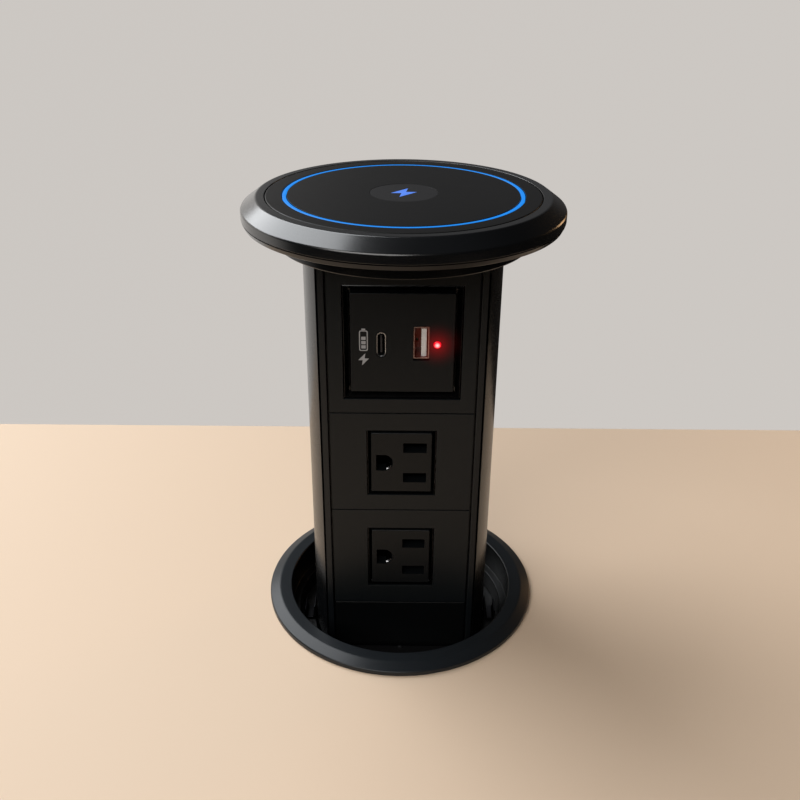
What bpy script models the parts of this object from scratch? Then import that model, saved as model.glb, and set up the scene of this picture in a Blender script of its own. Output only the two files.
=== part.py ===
"""Retractable power tower for a worktop.

A column with two outlets and a USB panel slides down into a sleeve that a ring nut clamps in the worktop.
The column carries a round cap with a wireless charging plate. Metres, +Z up. The origin lies on the column's
axis at the worktop's top surface, and the outlets face -Y.
"""

import math

import bmesh
import bpy

MM = 0.001
GAP = 0.3 * MM
COLLECTION = "desk_power_tower"

# Cap
CAP_TOP = 166.0 * MM
CAP_RADIUS = 55.0 * MM
CAP_CHAMFER_INNER = 49.8 * MM
CAP_CHAMFER_DROP = 3.8 * MM
CAP_RIM_BOTTOM = CAP_TOP - 6.9 * MM
CAP_UNDERSIDE = CAP_TOP - 9.0 * MM
CAP_LEDGE_DROP = 2.8 * MM
COLLAR_RADIUS = 43.9 * MM
COLLAR_BOTTOM = CAP_TOP - 15.5 * MM
PLATE_RADIUS = 46.6 * MM
PLATE_THICKNESS = 2.5 * MM
LIGHT_RING_RADIUS = 40.2 * MM
LIGHT_RING_WIDTH = 1.2 * MM
MARK_DISC_RADIUS = 11.3 * MM
MARK_SIZE = 11.0 * MM
MARK_OPENING_SIZE = 12.8 * MM
LEAD_OPENING_RADIUS = 5.5 * MM
RIM_SEAT_RADIUS = 44.5 * MM
TRAY_FLOOR = 2.2 * MM
TRAY_WALL_RADIUS = 41.6 * MM
BOARD_LEDGE_RADIUS = 38.5 * MM
BOARD_LEDGE_HEIGHT = 2.0 * MM
BOARD_THICKNESS = 1.6 * MM
CHARGER_BOARD_RADIUS = 41.2 * MM
CARRIER_RADIUS = 44.2 * MM
FERRITE_RADIUS = 24.0 * MM
COIL_RADII = (9.0 * MM, 22.0 * MM)
CAP_SCREWS = ((-16.0 * MM, 4.0 * MM), (16.0 * MM, 4.0 * MM))

# Column
COLUMN_RADIUS = 35.0 * MM
COLUMN_FRONT = -19.2 * MM
SHELL_WALL = 2.0 * MM
PANEL_HALF_WIDTH = 25.8 * MM
PANEL_THICKNESS = 3.0 * MM
RAIL_INNER = 26.3 * MM
RAIL_OUTER = 29.1 * MM
RAIL_LIP = 23.5 * MM
RAIL_LIP_THICKNESS = 1.8 * MM
SHELL_FRONT_ANGLE = -33.0
SHELL_INNER_ANGLE = -27.0
REAR_SEAM_ANGLE = 50.0
COLUMN_TOP = COLLAR_BOTTOM - GAP
COLUMN_BOTTOM = -20.0 * MM
SEAM_USB = 91.5 * MM
SEAM_OUTLETS = 50.2 * MM
SEAM_LOWER = 6.1 * MM
SEAM_GAP = 0.4 * MM
CORE_RADIUS = 32.6 * MM
CORE_FRONT = -14.0 * MM
HEAD_PLATE_BOTTOM = 141.5 * MM
PANEL_BACK = COLUMN_FRONT + PANEL_THICKNESS
REAR_SCREWS = {"top": 145.5 * MM, "bottom": -16.5 * MM}
SPINE_HALF_WIDTH = 23.0 * MM
SPINE_WALL = 1.5 * MM
SPINE_FRONT = -13.0 * MM
SPINE_BACK = 14.0 * MM

# USB panel
USB_CENTRE = (0.0, 118.5 * MM)
USB_WINDOW = (41.4 * MM, 42.8 * MM)
USB_FACE = (36.0 * MM, 37.0 * MM)
USB_C = (-7.3 * MM, 118.1 * MM)
USB_C_SIZE = (3.3 * MM, 9.1 * MM)
USB_A = (6.5 * MM, 118.6 * MM)
USB_A_SIZE = (5.4 * MM, 12.4 * MM)
STATUS_LED = (12.0 * MM, 118.1 * MM)
STATUS_LED_RADIUS = 1.3 * MM
PORT_PLAY = 0.15 * MM
PORT_SHELL_WALL = 0.35 * MM
PORT_BACK = -9.0 * MM
USB_C_CORNER = 1.5 * MM
USB_C_TONGUE = (0.7 * MM, 6.6 * MM)
USB_A_TONGUE = (1.8 * MM, 10.4 * MM)
USB_A_TONGUE_OFFSET = 0.9 * MM
USB_BOARD_HALF_WIDTH = 17.0 * MM
USB_BOARD_Z = (101.0 * MM, 136.0 * MM)

# Outlets: blade slots 12.7 mm apart, earth hole 11.9 mm to their left
OUTLET_CENTRES = {"upper": 70.7 * MM, "lower": 28.1 * MM}
OUTLET_WINDOW = (25.4 * MM, 27.6 * MM)
OUTLET_FACE = (22.3 * MM, 25.1 * MM)
OUTLET_DEPTH = 16.0 * MM
SLOT_X = 4.9 * MM
SLOT_HALF_SPACING = 6.35 * MM
SLOT_SIZE = (8.6 * MM, 4.0 * MM)
EARTH_FLAT_X = -9.3 * MM
EARTH_ROUND_X = -3.1 * MM
EARTH_HEIGHT = 6.7 * MM
CONTACT_LEAF = 0.6 * MM
BLADE_CONTACT_HEIGHT = 3.2 * MM
BLADE_CONTACT_DEPTH = 5.0 * MM
EARTH_CONTACT_HEIGHT = 5.4 * MM
EARTH_CONTACT_WIDTH = 3.6 * MM
EARTH_CONTACT_DEPTH = 9.5 * MM

# Worktop flange, sleeve and clamp
FLANGE_RADIUS = 54.0 * MM
FLANGE_TOP = 3.6 * MM
FLANGE_CHAMFER_INNER = 49.9 * MM
BORE_RADIUS = 45.0 * MM
NECK_RADIUS = 46.3 * MM
SLEEVE_BORE = 42.0 * MM
SLEEVE_RADIUS = 43.9 * MM
SLEEVE_TOP = -10.3 * MM
SLEEVE_BOTTOM = -196.0 * MM
THREAD_BOTTOM = -92.0 * MM
SEAT_RADIUS = 43.7 * MM
SEAT_BOTTOM = -20.3 * MM
LEDGE_Z = -8.0 * MM
WORKTOP_THICKNESS = 25.0 * MM
WASHER_RADIUS = 60.0 * MM
WASHER_THICKNESS = 2.0 * MM
NUT_RADIUS = 55.0 * MM
NUT_LUG_RADIUS = 59.0 * MM
NUT_HEIGHT = 10.0 * MM
NUT_LUGS = 8
CORD_OPENING_RADIUS = 19.0 * MM
END_CAP_SCREW_ANGLES = (0.0, 180.0)
END_CAP_SKIRT_TOP = SLEEVE_BOTTOM + 10.0 * MM
END_CAP_FLOOR = SLEEVE_BOTTOM - GAP
END_CAP_BOTTOM = END_CAP_FLOOR - 4.0 * MM
END_CAP_RADIUS = SLEEVE_RADIUS + 2.3 * MM
END_CAP_SCREW_Z = SLEEVE_BOTTOM + 5.0 * MM
GUIDE_BOTTOM = SEAT_BOTTOM + GAP
GUIDE_TOP = GUIDE_BOTTOM + 4.0 * MM
GUIDE_PLAY = 0.7 * MM
GASKET_RADII = (47.0 * MM, 52.7 * MM)
GASKET_TOP = 0.8 * MM
CLIP_LEAF = 0.8 * MM
CLIP_WIDTH = 4.8 * MM
CLIP_PLAY = 0.6 * MM
CLIP_INNER_HEIGHT = 6.2 * MM
CLIP_OUTER_HEIGHT = 4.7 * MM
CLIP_HALF_LENGTH = 4.0 * MM

# Foot of the column
FOOT_PLUG_TOP = -12.0 * MM
FOOT_FLANGE_TOP = -21.9 * MM
FOOT_FLANGE_BOTTOM = -25.9 * MM
FOOT_RADIUS = SLEEVE_BORE - 0.6 * MM
STOP_RING_RADII = (36.4 * MM, 41.0 * MM)
SHOE_INNER = 38.0 * MM
SHOE_HALF_ANGLE = 8.6
SHOE_DROP = 4.0 * MM
GLAND_RADIUS = 7.9 * MM
GLAND_COLLAR_RADIUS = 11.0 * MM
GLAND_NECK_RADIUS = 7.0 * MM
GLAND_BORE = 4.8 * MM
GLAND_TOP = -7.0 * MM
GLAND_COLLAR_BOTTOM = -30.0 * MM
GLAND_NECK_BOTTOM = -38.0 * MM
GLAND_NUT_SHOULDER = -39.0 * MM
GLAND_NUT_BOTTOM = -44.5 * MM

SCREW_SINK = 1.1 * MM
STEPS_LARGE = 48
STEPS_SMALL = 16
STEPS_HIDDEN = 32
SCREW_STEPS = 12

FINISHES = {
    "satin_black": ((0.020, 0.021, 0.024), 0.38, 0.55),
    "black_plastic": ((0.018, 0.018, 0.020), 0.45, 0.0),
    "charge_glass": ((0.006, 0.006, 0.007), 0.12, 0.0),
    "blue_light": ((0.03, 0.26, 0.95), 0.30, 0.0),
    "red_light": ((0.90, 0.03, 0.03), 0.25, 0.0),
    "steel": ((0.56, 0.56, 0.58), 0.30, 1.0),
    "brass": ((0.78, 0.60, 0.30), 0.32, 1.0),
    "copper": ((0.80, 0.42, 0.24), 0.35, 1.0),
    "pale_plastic": ((0.72, 0.70, 0.66), 0.50, 0.0),
    "board_green": ((0.03, 0.17, 0.08), 0.50, 0.0),
    "ferrite": ((0.06, 0.06, 0.065), 0.60, 0.1),
    "rubber": ((0.015, 0.015, 0.015), 0.80, 0.0),
    "nylon": ((0.80, 0.79, 0.75), 0.55, 0.0),
    "grey_plastic": ((0.05, 0.05, 0.055), 0.55, 0.0),
}


def clear_scene():
    for obj in list(bpy.data.objects):
        bpy.data.objects.remove(obj, do_unlink=True)


def new_collection(name):
    collection = bpy.data.collections.new(name)
    bpy.context.scene.collection.children.link(collection)
    return collection


def own_material(name, finish):
    colour, roughness, metallic = FINISHES[finish]
    material = bpy.data.materials.new(name + "_finish")
    material.use_nodes = True
    shader = material.node_tree.nodes["Principled BSDF"]
    shader.inputs["Base Color"].default_value = (*colour, 1.0)
    shader.inputs["Roughness"].default_value = roughness
    shader.inputs["Metallic"].default_value = metallic
    return material


def add_part(name, data, finish, body):
    """An object of its own in the parts collection, with its own material, under the empty of its body."""
    obj = bpy.data.objects.new(name, data)
    parts.objects.link(obj)
    data.materials.append(own_material(name, finish))
    obj.parent = bodies[body]
    return obj


def add_cutter(name, data):
    obj = bpy.data.objects.new(name, data)
    cutters.objects.link(obj)
    obj.hide_render = True
    obj.display_type = "WIRE"
    return obj


def cube_mesh(name, size):
    shape = bmesh.new()
    bmesh.ops.create_cube(shape, size=1.0)
    bmesh.ops.scale(shape, vec=size, verts=shape.verts)
    mesh = bpy.data.meshes.new(name)
    shape.to_mesh(mesh)
    shape.free()
    return mesh


def cylinder_mesh(name, radius, length, segments=STEPS_SMALL):
    shape = bmesh.new()
    bmesh.ops.create_cone(
        shape, cap_ends=True, segments=segments, radius1=radius, radius2=radius, depth=length
    )
    mesh = bpy.data.meshes.new(name)
    shape.to_mesh(mesh)
    shape.free()
    return mesh


def box(name, finish, body, low, high):
    size = [b - a for a, b in zip(low, high)]
    obj = add_part(name, cube_mesh(name, size), finish, body)
    obj.location = [(a + b) / 2 for a, b in zip(low, high)]
    return obj


def turned_mesh(name, profile):
    mesh = bpy.data.meshes.new(name)
    points = [(radius, 0.0, z) for radius, z in profile]
    edges = [(i, i + 1) for i in range(len(points) - 1)]
    if profile[0][0] > 0:
        edges.append((len(points) - 1, 0))
    mesh.from_pydata(points, edges, [])
    return mesh


def spin_up(obj, steps):
    screw = obj.modifiers.new("turn", "SCREW")
    screw.axis = "Z"
    screw.steps = steps
    screw.render_steps = steps
    screw.use_merge_vertices = True
    screw.merge_threshold = 0.01 * MM
    screw.use_smooth_shade = True


def turned(name, finish, body, profile, steps=STEPS_LARGE):
    """A turned piece. Its profile runs down the outer side and closes on itself, or ends on the axis."""
    obj = add_part(name, turned_mesh(name, profile), finish, body)
    spin_up(obj, steps)
    return obj


def ring_profile(outer, inner, top, bottom):
    return [(outer, top), (outer, bottom), (inner, bottom), (inner, top)]


def disc_profile(radius, top, bottom):
    return [(0.0, top), (radius, top), (radius, bottom), (0.0, bottom)]


def arc(radius, start, end, steps, centre=(0.0, 0.0)):
    """Points on an arc, with both ends, between two angles in degrees."""
    points = []
    for i in range(steps + 1):
        angle = math.radians(start + (end - start) * i / steps)
        points.append((centre[0] + radius * math.cos(angle), centre[1] + radius * math.sin(angle)))
    return points


def circle(radius, steps=STEPS_LARGE):
    return arc(radius, 0.0, 360.0 - 360.0 / steps, steps - 1)


def rectangle(size, centre=(0.0, 0.0)):
    half_x = size[0] / 2
    half_y = size[1] / 2
    x, y = centre
    front = [(x - half_x, y - half_y), (x + half_x, y - half_y)]
    return front + [(x + half_x, y + half_y), (x - half_x, y + half_y)]


def rounded_rectangle(size, radius, centre=(0.0, 0.0), steps=3):
    half_x = size[0] / 2 - radius
    half_y = size[1] / 2 - radius
    x, y = centre
    corners = [(x + half_x, y + half_y, 0), (x - half_x, y + half_y, 90)]
    corners += [(x - half_x, y - half_y, 180), (x + half_x, y - half_y, 270)]
    points = []
    for corner_x, corner_y, start in corners:
        points += arc(radius, start, start + 90, steps, (corner_x, corner_y))
    return points


def arc_band(outer, inner, start, end, steps):
    return arc(outer, start, end, steps) + arc(inner, end, start, steps)


def column_outline(radius, front, steps=28):
    """The column's plan: a circle cut off by the flat front."""
    edge = math.degrees(math.asin(front / radius))
    return arc(radius, edge, 180.0 - edge, steps)


def mirror_points(points):
    return [(-x, y) for x, y in points]


ORIENTATIONS = {
    "up": (0.0, 0.0, 0.0),
    "front": (math.pi / 2, 0.0, 0.0),
    "side": (math.pi / 2, 0.0, math.pi / 2),
}


def outline_curve(name, outlines, depth):
    curve = bpy.data.curves.new(name, "CURVE")
    curve.dimensions = "2D"
    curve.fill_mode = "BOTH"
    curve.extrude = depth / 2
    for outline in outlines:
        spline = curve.splines.new("POLY")
        spline.points.add(len(outline) - 1)
        for point, (x, y) in zip(spline.points, outline):
            point.co = (x, y, 0.0, 1.0)
        spline.use_cyclic_u = True
    return curve


def place(obj, facing, low, high):
    """Turns a flat outline to face up, front or side, and puts it between two depths along that direction."""
    middle = (low + high) / 2
    obj.rotation_euler = ORIENTATIONS[facing]
    obj.location = {"up": (0, 0, middle), "front": (0, middle, 0), "side": (middle, 0, 0)}[facing]


def plate(name, finish, body, outlines, low, high, facing="up"):
    """A flat outline with its holes, given a thickness."""
    obj = add_part(name, outline_curve(name, outlines, high - low), finish, body)
    place(obj, facing, low, high)
    return obj


def as_mesh(obj):
    """The same piece as a mesh with its caps welded, so that it can be cut or joined."""
    bpy.context.view_layer.update()
    graph = bpy.context.evaluated_depsgraph_get()
    mesh = bpy.data.meshes.new_from_object(obj.evaluated_get(graph))
    shape = bmesh.new()
    shape.from_mesh(mesh)
    bmesh.ops.remove_doubles(shape, verts=shape.verts, dist=0.001 * MM)
    bmesh.ops.recalc_face_normals(shape, faces=shape.faces)
    shape.to_mesh(mesh)
    shape.free()
    name = obj.name
    home = obj.users_collection[0]
    matrix = obj.matrix_world.copy()
    parent = obj.parent
    hidden = obj.hide_render
    display = obj.display_type
    bpy.data.objects.remove(obj, do_unlink=True)
    made = bpy.data.objects.new(name, mesh)
    home.objects.link(made)
    made.parent = parent
    made.matrix_world = matrix
    made.hide_render = hidden
    made.display_type = display
    return made


def outline_cutter(name, outlines, low, high, facing):
    cutter = add_cutter(name, outline_curve(name, outlines, high - low))
    place(cutter, facing, low, high)
    return as_mesh(cutter)


def boolean(obj, other, operation="DIFFERENCE"):
    modifier = obj.modifiers.new(operation.lower(), "BOOLEAN")
    modifier.operation = operation
    modifier.object = other
    modifier.solver = "EXACT"


def radial_cutter(name, radius, length, angle, distance, z):
    """A round cutter lying along a radius of the column, centred at that distance from the axis."""
    cutter = add_cutter(name, cylinder_mesh(name, radius, length))
    turn = math.radians(angle)
    cutter.location = (distance * math.cos(turn), distance * math.sin(turn), z)
    cutter.rotation_euler = (0.0, math.pi / 2, turn)
    return cutter


def upright_cutter(name, radius, length, x, y, z):
    cutter = add_cutter(name, cylinder_mesh(name, radius, length))
    cutter.location = (x, y, z)
    return cutter


def screw_profile(head_radius, head_height, shank_radius, shank_length):
    """A pan head on top of a shank: the underside of the head is at z = 0."""
    return [
        (0.0, head_height),
        (0.7 * head_radius, head_height),
        (head_radius, 0.5 * head_height),
        (head_radius, 0.0),
        (shank_radius, 0.0),
        (shank_radius, -shank_length),
        (0.0, -shank_length),
    ]


def sunk_screw(cover, name, body, angle, radius, z, shank_length):
    """Fastens a round cover of that radius with a radial screw, its head sunk in a pocket of the cover."""
    seat = radius - SCREW_SINK
    boolean(cover, radial_cutter(name + "_hole", 1.6 * MM, 8.0 * MM, angle, radius, z))
    pocket_middle = seat - GAP + 2.0 * MM
    boolean(cover, radial_cutter(name + "_pocket", 3.1 * MM, 4.0 * MM, angle, pocket_middle, z))
    profile = screw_profile(2.7 * MM, 0.9 * MM, 1.2 * MM, shank_length)
    screw = turned(name, "steel", body, profile, SCREW_STEPS)
    turn = math.radians(angle)
    screw.location = (seat * math.cos(turn), seat * math.sin(turn), z)
    screw.rotation_euler = (0.0, math.pi / 2, turn)


def bolt_outline(size):
    """A plain lightning bolt, the same when turned half way round."""
    half = [(0.26, 1.0), (-0.80, -0.14), (-0.14, -0.14)]
    points = half + [(-x, -y) for x, y in half]
    return [(x * size / 2, y * size / 2) for x, y in points]


# ---------------------------------------------------------------- housing in the worktop

def make_flange():
    spigot_radius = SEAT_RADIUS - GAP
    profile = [
        (FLANGE_CHAMFER_INNER, FLANGE_TOP),
        (FLANGE_RADIUS - 0.4 * MM, 2.3 * MM),
        (FLANGE_RADIUS, 1.8 * MM),
        (FLANGE_RADIUS, 0.2 * MM),
        (FLANGE_RADIUS - 1.0 * MM, 0.2 * MM),
        (FLANGE_RADIUS - 1.0 * MM, 1.1 * MM),
        (NECK_RADIUS, 1.1 * MM),
        (NECK_RADIUS, SLEEVE_TOP + GAP),
        (spigot_radius, SLEEVE_TOP + GAP),
        (spigot_radius, GUIDE_TOP + GAP),
        (SLEEVE_BORE, GUIDE_TOP + GAP),
        (SLEEVE_BORE, LEDGE_Z),
        (BORE_RADIUS, LEDGE_Z),
        (BORE_RADIUS, FLANGE_TOP - 0.4 * MM),
        (BORE_RADIUS + 0.4 * MM, FLANGE_TOP),
    ]
    turned("flange_ring", "satin_black", "housing", profile)
    inner, outer = GASKET_RADII
    turned("flange_gasket", "rubber", "housing", ring_profile(outer, inner, GASKET_TOP, 0.0))


def make_sleeve():
    profile = [
        (NECK_RADIUS, SLEEVE_TOP),
        (NECK_RADIUS, THREAD_BOTTOM),
        (SLEEVE_RADIUS, THREAD_BOTTOM - 2.4 * MM),
        (SLEEVE_RADIUS, SLEEVE_BOTTOM),
        (SLEEVE_BORE, SLEEVE_BOTTOM),
        (SLEEVE_BORE, SEAT_BOTTOM),
        (SEAT_RADIUS, SEAT_BOTTOM),
        (SEAT_RADIUS, SLEEVE_TOP),
    ]
    sleeve = turned("sleeve_tube", "grey_plastic", "housing", profile)
    for index, angle in enumerate(END_CAP_SCREW_ANGLES):
        name = f"sleeve_hole_{index}"
        boolean(sleeve, radial_cutter(name, 1.4 * MM, 8.0 * MM, angle, SLEEVE_RADIUS, END_CAP_SCREW_Z))


def make_end_cap():
    profile = [
        (END_CAP_RADIUS, END_CAP_SKIRT_TOP),
        (END_CAP_RADIUS, END_CAP_BOTTOM + 0.8 * MM),
        (END_CAP_RADIUS - 0.8 * MM, END_CAP_BOTTOM),
        (CORD_OPENING_RADIUS, END_CAP_BOTTOM),
        (CORD_OPENING_RADIUS, END_CAP_FLOOR),
        (SLEEVE_RADIUS + GAP, END_CAP_FLOOR),
        (SLEEVE_RADIUS + GAP, END_CAP_SKIRT_TOP),
    ]
    cap = turned("end_cap", "grey_plastic", "housing", profile)
    for index, angle in enumerate(END_CAP_SCREW_ANGLES):
        name = f"end_cap_screw_{index + 1}"
        sunk_screw(cap, name, "housing", angle, END_CAP_RADIUS, END_CAP_SCREW_Z, 3.0 * MM)


def make_guides():
    """The guide plate keeps the column upright, and the spring clips on it press on the column's sides."""
    opening = column_outline(COLUMN_RADIUS + GUIDE_PLAY, COLUMN_FRONT - GUIDE_PLAY)
    outlines = [circle(SEAT_RADIUS - GAP), opening]
    plate("guide_plate", "grey_plastic", "housing", outlines, GUIDE_BOTTOM, GUIDE_TOP)
    foot = GUIDE_TOP + GAP
    leaf = CLIP_LEAF
    inner = COLUMN_RADIUS + CLIP_PLAY
    outer = inner + CLIP_WIDTH
    clip = [
        (inner, foot),
        (outer, foot),
        (outer, foot + CLIP_OUTER_HEIGHT),
        (outer - leaf, foot + CLIP_OUTER_HEIGHT),
        (outer - leaf, foot + leaf),
        (inner + leaf, foot + leaf),
        (inner + leaf, foot + CLIP_INNER_HEIGHT),
        (inner, foot + CLIP_INNER_HEIGHT),
    ]
    for side, points in (("right", clip), ("left", mirror_points(clip))):
        name = f"guide_clip_{side}"
        plate(name, "steel", "housing", [points], -CLIP_HALF_LENGTH, CLIP_HALF_LENGTH, "front")


# ---------------------------------------------------------------- clamp under the worktop


def make_clamp():
    washer_top = -WORKTOP_THICKNESS
    washer_bottom = washer_top - WASHER_THICKNESS
    bore = NECK_RADIUS + 0.5 * MM
    washer = ring_profile(WASHER_RADIUS, bore, washer_top, washer_bottom)
    turned("clamp_washer", "rubber", "clamp_washer", washer)
    nut_top = washer_bottom - GAP
    step = 360.0 / NUT_LUGS
    rim = []
    for lug in range(NUT_LUGS):
        start = lug * step
        rim += arc(NUT_LUG_RADIUS, start, start + 0.36 * step, 2)
        rim += arc(NUT_RADIUS, start + 0.46 * step, start + 0.90 * step, 3)
    outlines = [rim, circle(NECK_RADIUS + GAP)]
    plate("clamp_nut", "grey_plastic", "clamp_nut", outlines, nut_top - NUT_HEIGHT, nut_top)


# ---------------------------------------------------------------- column


def make_column_shells():
    outer = COLUMN_RADIUS
    inner = COLUMN_RADIUS - SHELL_WALL
    seam = math.degrees(SEAM_GAP / COLUMN_RADIUS)
    right = arc(outer, SHELL_FRONT_ANGLE, REAR_SEAM_ANGLE, 14)
    right += arc(inner, REAR_SEAM_ANGLE, SHELL_INNER_ANGLE, 14)
    plate("side_shell_right", "satin_black", "tower", [right], COLUMN_BOTTOM, COLUMN_TOP)
    plate("side_shell_left", "satin_black", "tower", [mirror_points(right)], COLUMN_BOTTOM, COLUMN_TOP)
    band = arc_band(outer, inner, REAR_SEAM_ANGLE + seam, 180.0 - REAR_SEAM_ANGLE - seam, 14)
    cover = as_mesh(plate("rear_cover", "satin_black", "tower", [band], COLUMN_BOTTOM, COLUMN_TOP))
    for place_name, z in REAR_SCREWS.items():
        name = f"rear_cover_screw_{place_name}"
        sunk_screw(cover, name, "tower", 90.0, COLUMN_RADIUS, z, 7.0 * MM)


def make_rails():
    """The rails at both sides of the front hold the panels from behind with a lip."""
    lip_back = PANEL_BACK + RAIL_LIP_THICKNESS
    rail = [
        (RAIL_INNER, COLUMN_FRONT),
        (RAIL_OUTER, COLUMN_FRONT),
        (RAIL_OUTER, lip_back),
        (RAIL_LIP, lip_back),
        (RAIL_LIP, PANEL_BACK + GAP),
        (RAIL_INNER, PANEL_BACK + GAP),
    ]
    plate("front_rail_right", "satin_black", "tower", [rail], COLUMN_BOTTOM, COLUMN_TOP)
    plate("front_rail_left", "satin_black", "tower", [mirror_points(rail)], COLUMN_BOTTOM, COLUMN_TOP)


def make_column_core():
    """The head plate and the foot close the shells, and the spine between them carries the modules."""
    head = plate(
        "head_plate",
        "grey_plastic",
        "tower",
        [column_outline(CORE_RADIUS, CORE_FRONT), circle(6.0 * MM, 16)],
        HEAD_PLATE_BOTTOM,
        COLUMN_TOP,
    )
    head = as_mesh(head)
    hole = radial_cutter("head_hole", 1.4 * MM, 14.0 * MM, 90.0, CORE_RADIUS, REAR_SCREWS["top"])
    boolean(head, hole)
    for index, (x, y) in enumerate(CAP_SCREWS):
        name = f"head_screw_hole_{index}"
        boolean(head, upright_cutter(name, 1.6 * MM, 30.0 * MM, x, y, COLUMN_TOP))
    wall = SPINE_WALL
    spine = [
        (-SPINE_HALF_WIDTH, SPINE_FRONT),
        (-SPINE_HALF_WIDTH, SPINE_BACK),
        (SPINE_HALF_WIDTH, SPINE_BACK),
        (SPINE_HALF_WIDTH, SPINE_FRONT),
        (SPINE_HALF_WIDTH - wall, SPINE_FRONT),
        (SPINE_HALF_WIDTH - wall, SPINE_BACK - wall),
        (-SPINE_HALF_WIDTH + wall, SPINE_BACK - wall),
        (-SPINE_HALF_WIDTH + wall, SPINE_FRONT),
    ]
    plate("chassis_spine", "steel", "tower", [spine], FOOT_PLUG_TOP + GAP, HEAD_PLATE_BOTTOM - GAP)


def make_foot():
    """The foot runs in the sleeve on two shoes. Its stop ring meets the guide plate when the column is up."""
    plug_outline = [column_outline(CORE_RADIUS, CORE_FRONT)]
    plug = outline_cutter("foot_plug", plug_outline, FOOT_FLANGE_BOTTOM + 1.0 * MM, FOOT_PLUG_TOP, "up")
    flange = disc_profile(FOOT_RADIUS, FOOT_FLANGE_TOP, FOOT_FLANGE_BOTTOM)
    foot = turned("tower_foot", "grey_plastic", "tower", flange)
    boolean(foot, plug, "UNION")
    hole = upright_cutter("gland_hole", GLAND_RADIUS + GAP, 40.0 * MM, 0.0, 0.0, FOOT_FLANGE_TOP)
    boolean(foot, hole)
    hole = radial_cutter("foot_screw_hole", 1.4 * MM, 14.0 * MM, 90.0, CORE_RADIUS, REAR_SCREWS["bottom"])
    boolean(foot, hole)
    inner, outer = STOP_RING_RADII
    stop = ring_profile(outer, inner, SEAT_BOTTOM - 0.1 * MM, FOOT_FLANGE_TOP + GAP)
    turned("stop_ring", "rubber", "tower", stop)
    for side, middle in (("right", 0.0), ("left", 180.0)):
        notch = add_cutter(f"shoe_notch_{side}", cube_mesh("notch", (10.0 * MM, 14.0 * MM, 12.0 * MM)))
        reach = SHOE_INNER + 4.2 * MM
        notch.location = (math.cos(math.radians(middle)) * reach, 0.0, FOOT_FLANGE_TOP - 2.0 * MM)
        boolean(foot, notch)
        start = middle - SHOE_HALF_ANGLE
        shoe = arc_band(SLEEVE_BORE - GAP, SHOE_INNER, start, middle + SHOE_HALF_ANGLE, 4)
        low = FOOT_FLANGE_BOTTOM - SHOE_DROP
        plate(f"guide_shoe_{side}", "nylon", "tower", [shoe], low, FOOT_FLANGE_TOP - 0.2 * MM)


def make_cord_gland():
    seat = FOOT_FLANGE_BOTTOM - GAP
    body = [
        (GLAND_RADIUS, GLAND_TOP),
        (GLAND_RADIUS, seat),
        (GLAND_COLLAR_RADIUS, seat),
        (GLAND_COLLAR_RADIUS, GLAND_COLLAR_BOTTOM),
        (GLAND_NECK_RADIUS, GLAND_COLLAR_BOTTOM),
        (GLAND_NECK_RADIUS, GLAND_NECK_BOTTOM),
        (GLAND_BORE, GLAND_NECK_BOTTOM),
        (GLAND_BORE, GLAND_TOP),
    ]
    turned("cord_gland", "black_plastic", "tower", body, 24)
    nut_top = GLAND_COLLAR_BOTTOM - GAP
    nut_bore = GLAND_NECK_RADIUS + GAP
    nut_floor = GLAND_NUT_BOTTOM + 2.7 * MM
    nut = [
        (GLAND_COLLAR_RADIUS, nut_top),
        (GLAND_COLLAR_RADIUS, GLAND_NUT_SHOULDER),
        (GLAND_COLLAR_RADIUS - 2.8 * MM, GLAND_NUT_BOTTOM),
        (GLAND_BORE, GLAND_NUT_BOTTOM),
        (GLAND_BORE, nut_floor),
        (nut_bore, nut_floor),
        (nut_bore, nut_top),
    ]
    turned("gland_nut", "black_plastic", "tower", nut, 24)


# ---------------------------------------------------------------- front modules

def front_panel(name, bottom, top, window=None):
    """A panel across the column's front, with a window where it has one."""
    size = (2 * PANEL_HALF_WIDTH, top - bottom - SEAM_GAP)
    outlines = [rectangle(size, (0.0, (top + bottom) / 2))]
    if window:
        outlines.append(window)
    plate(name, "satin_black", "tower", outlines, COLUMN_FRONT, PANEL_BACK, "front")


def grown(size, by):
    return (size[0] + 2 * by, size[1] + 2 * by)


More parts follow.
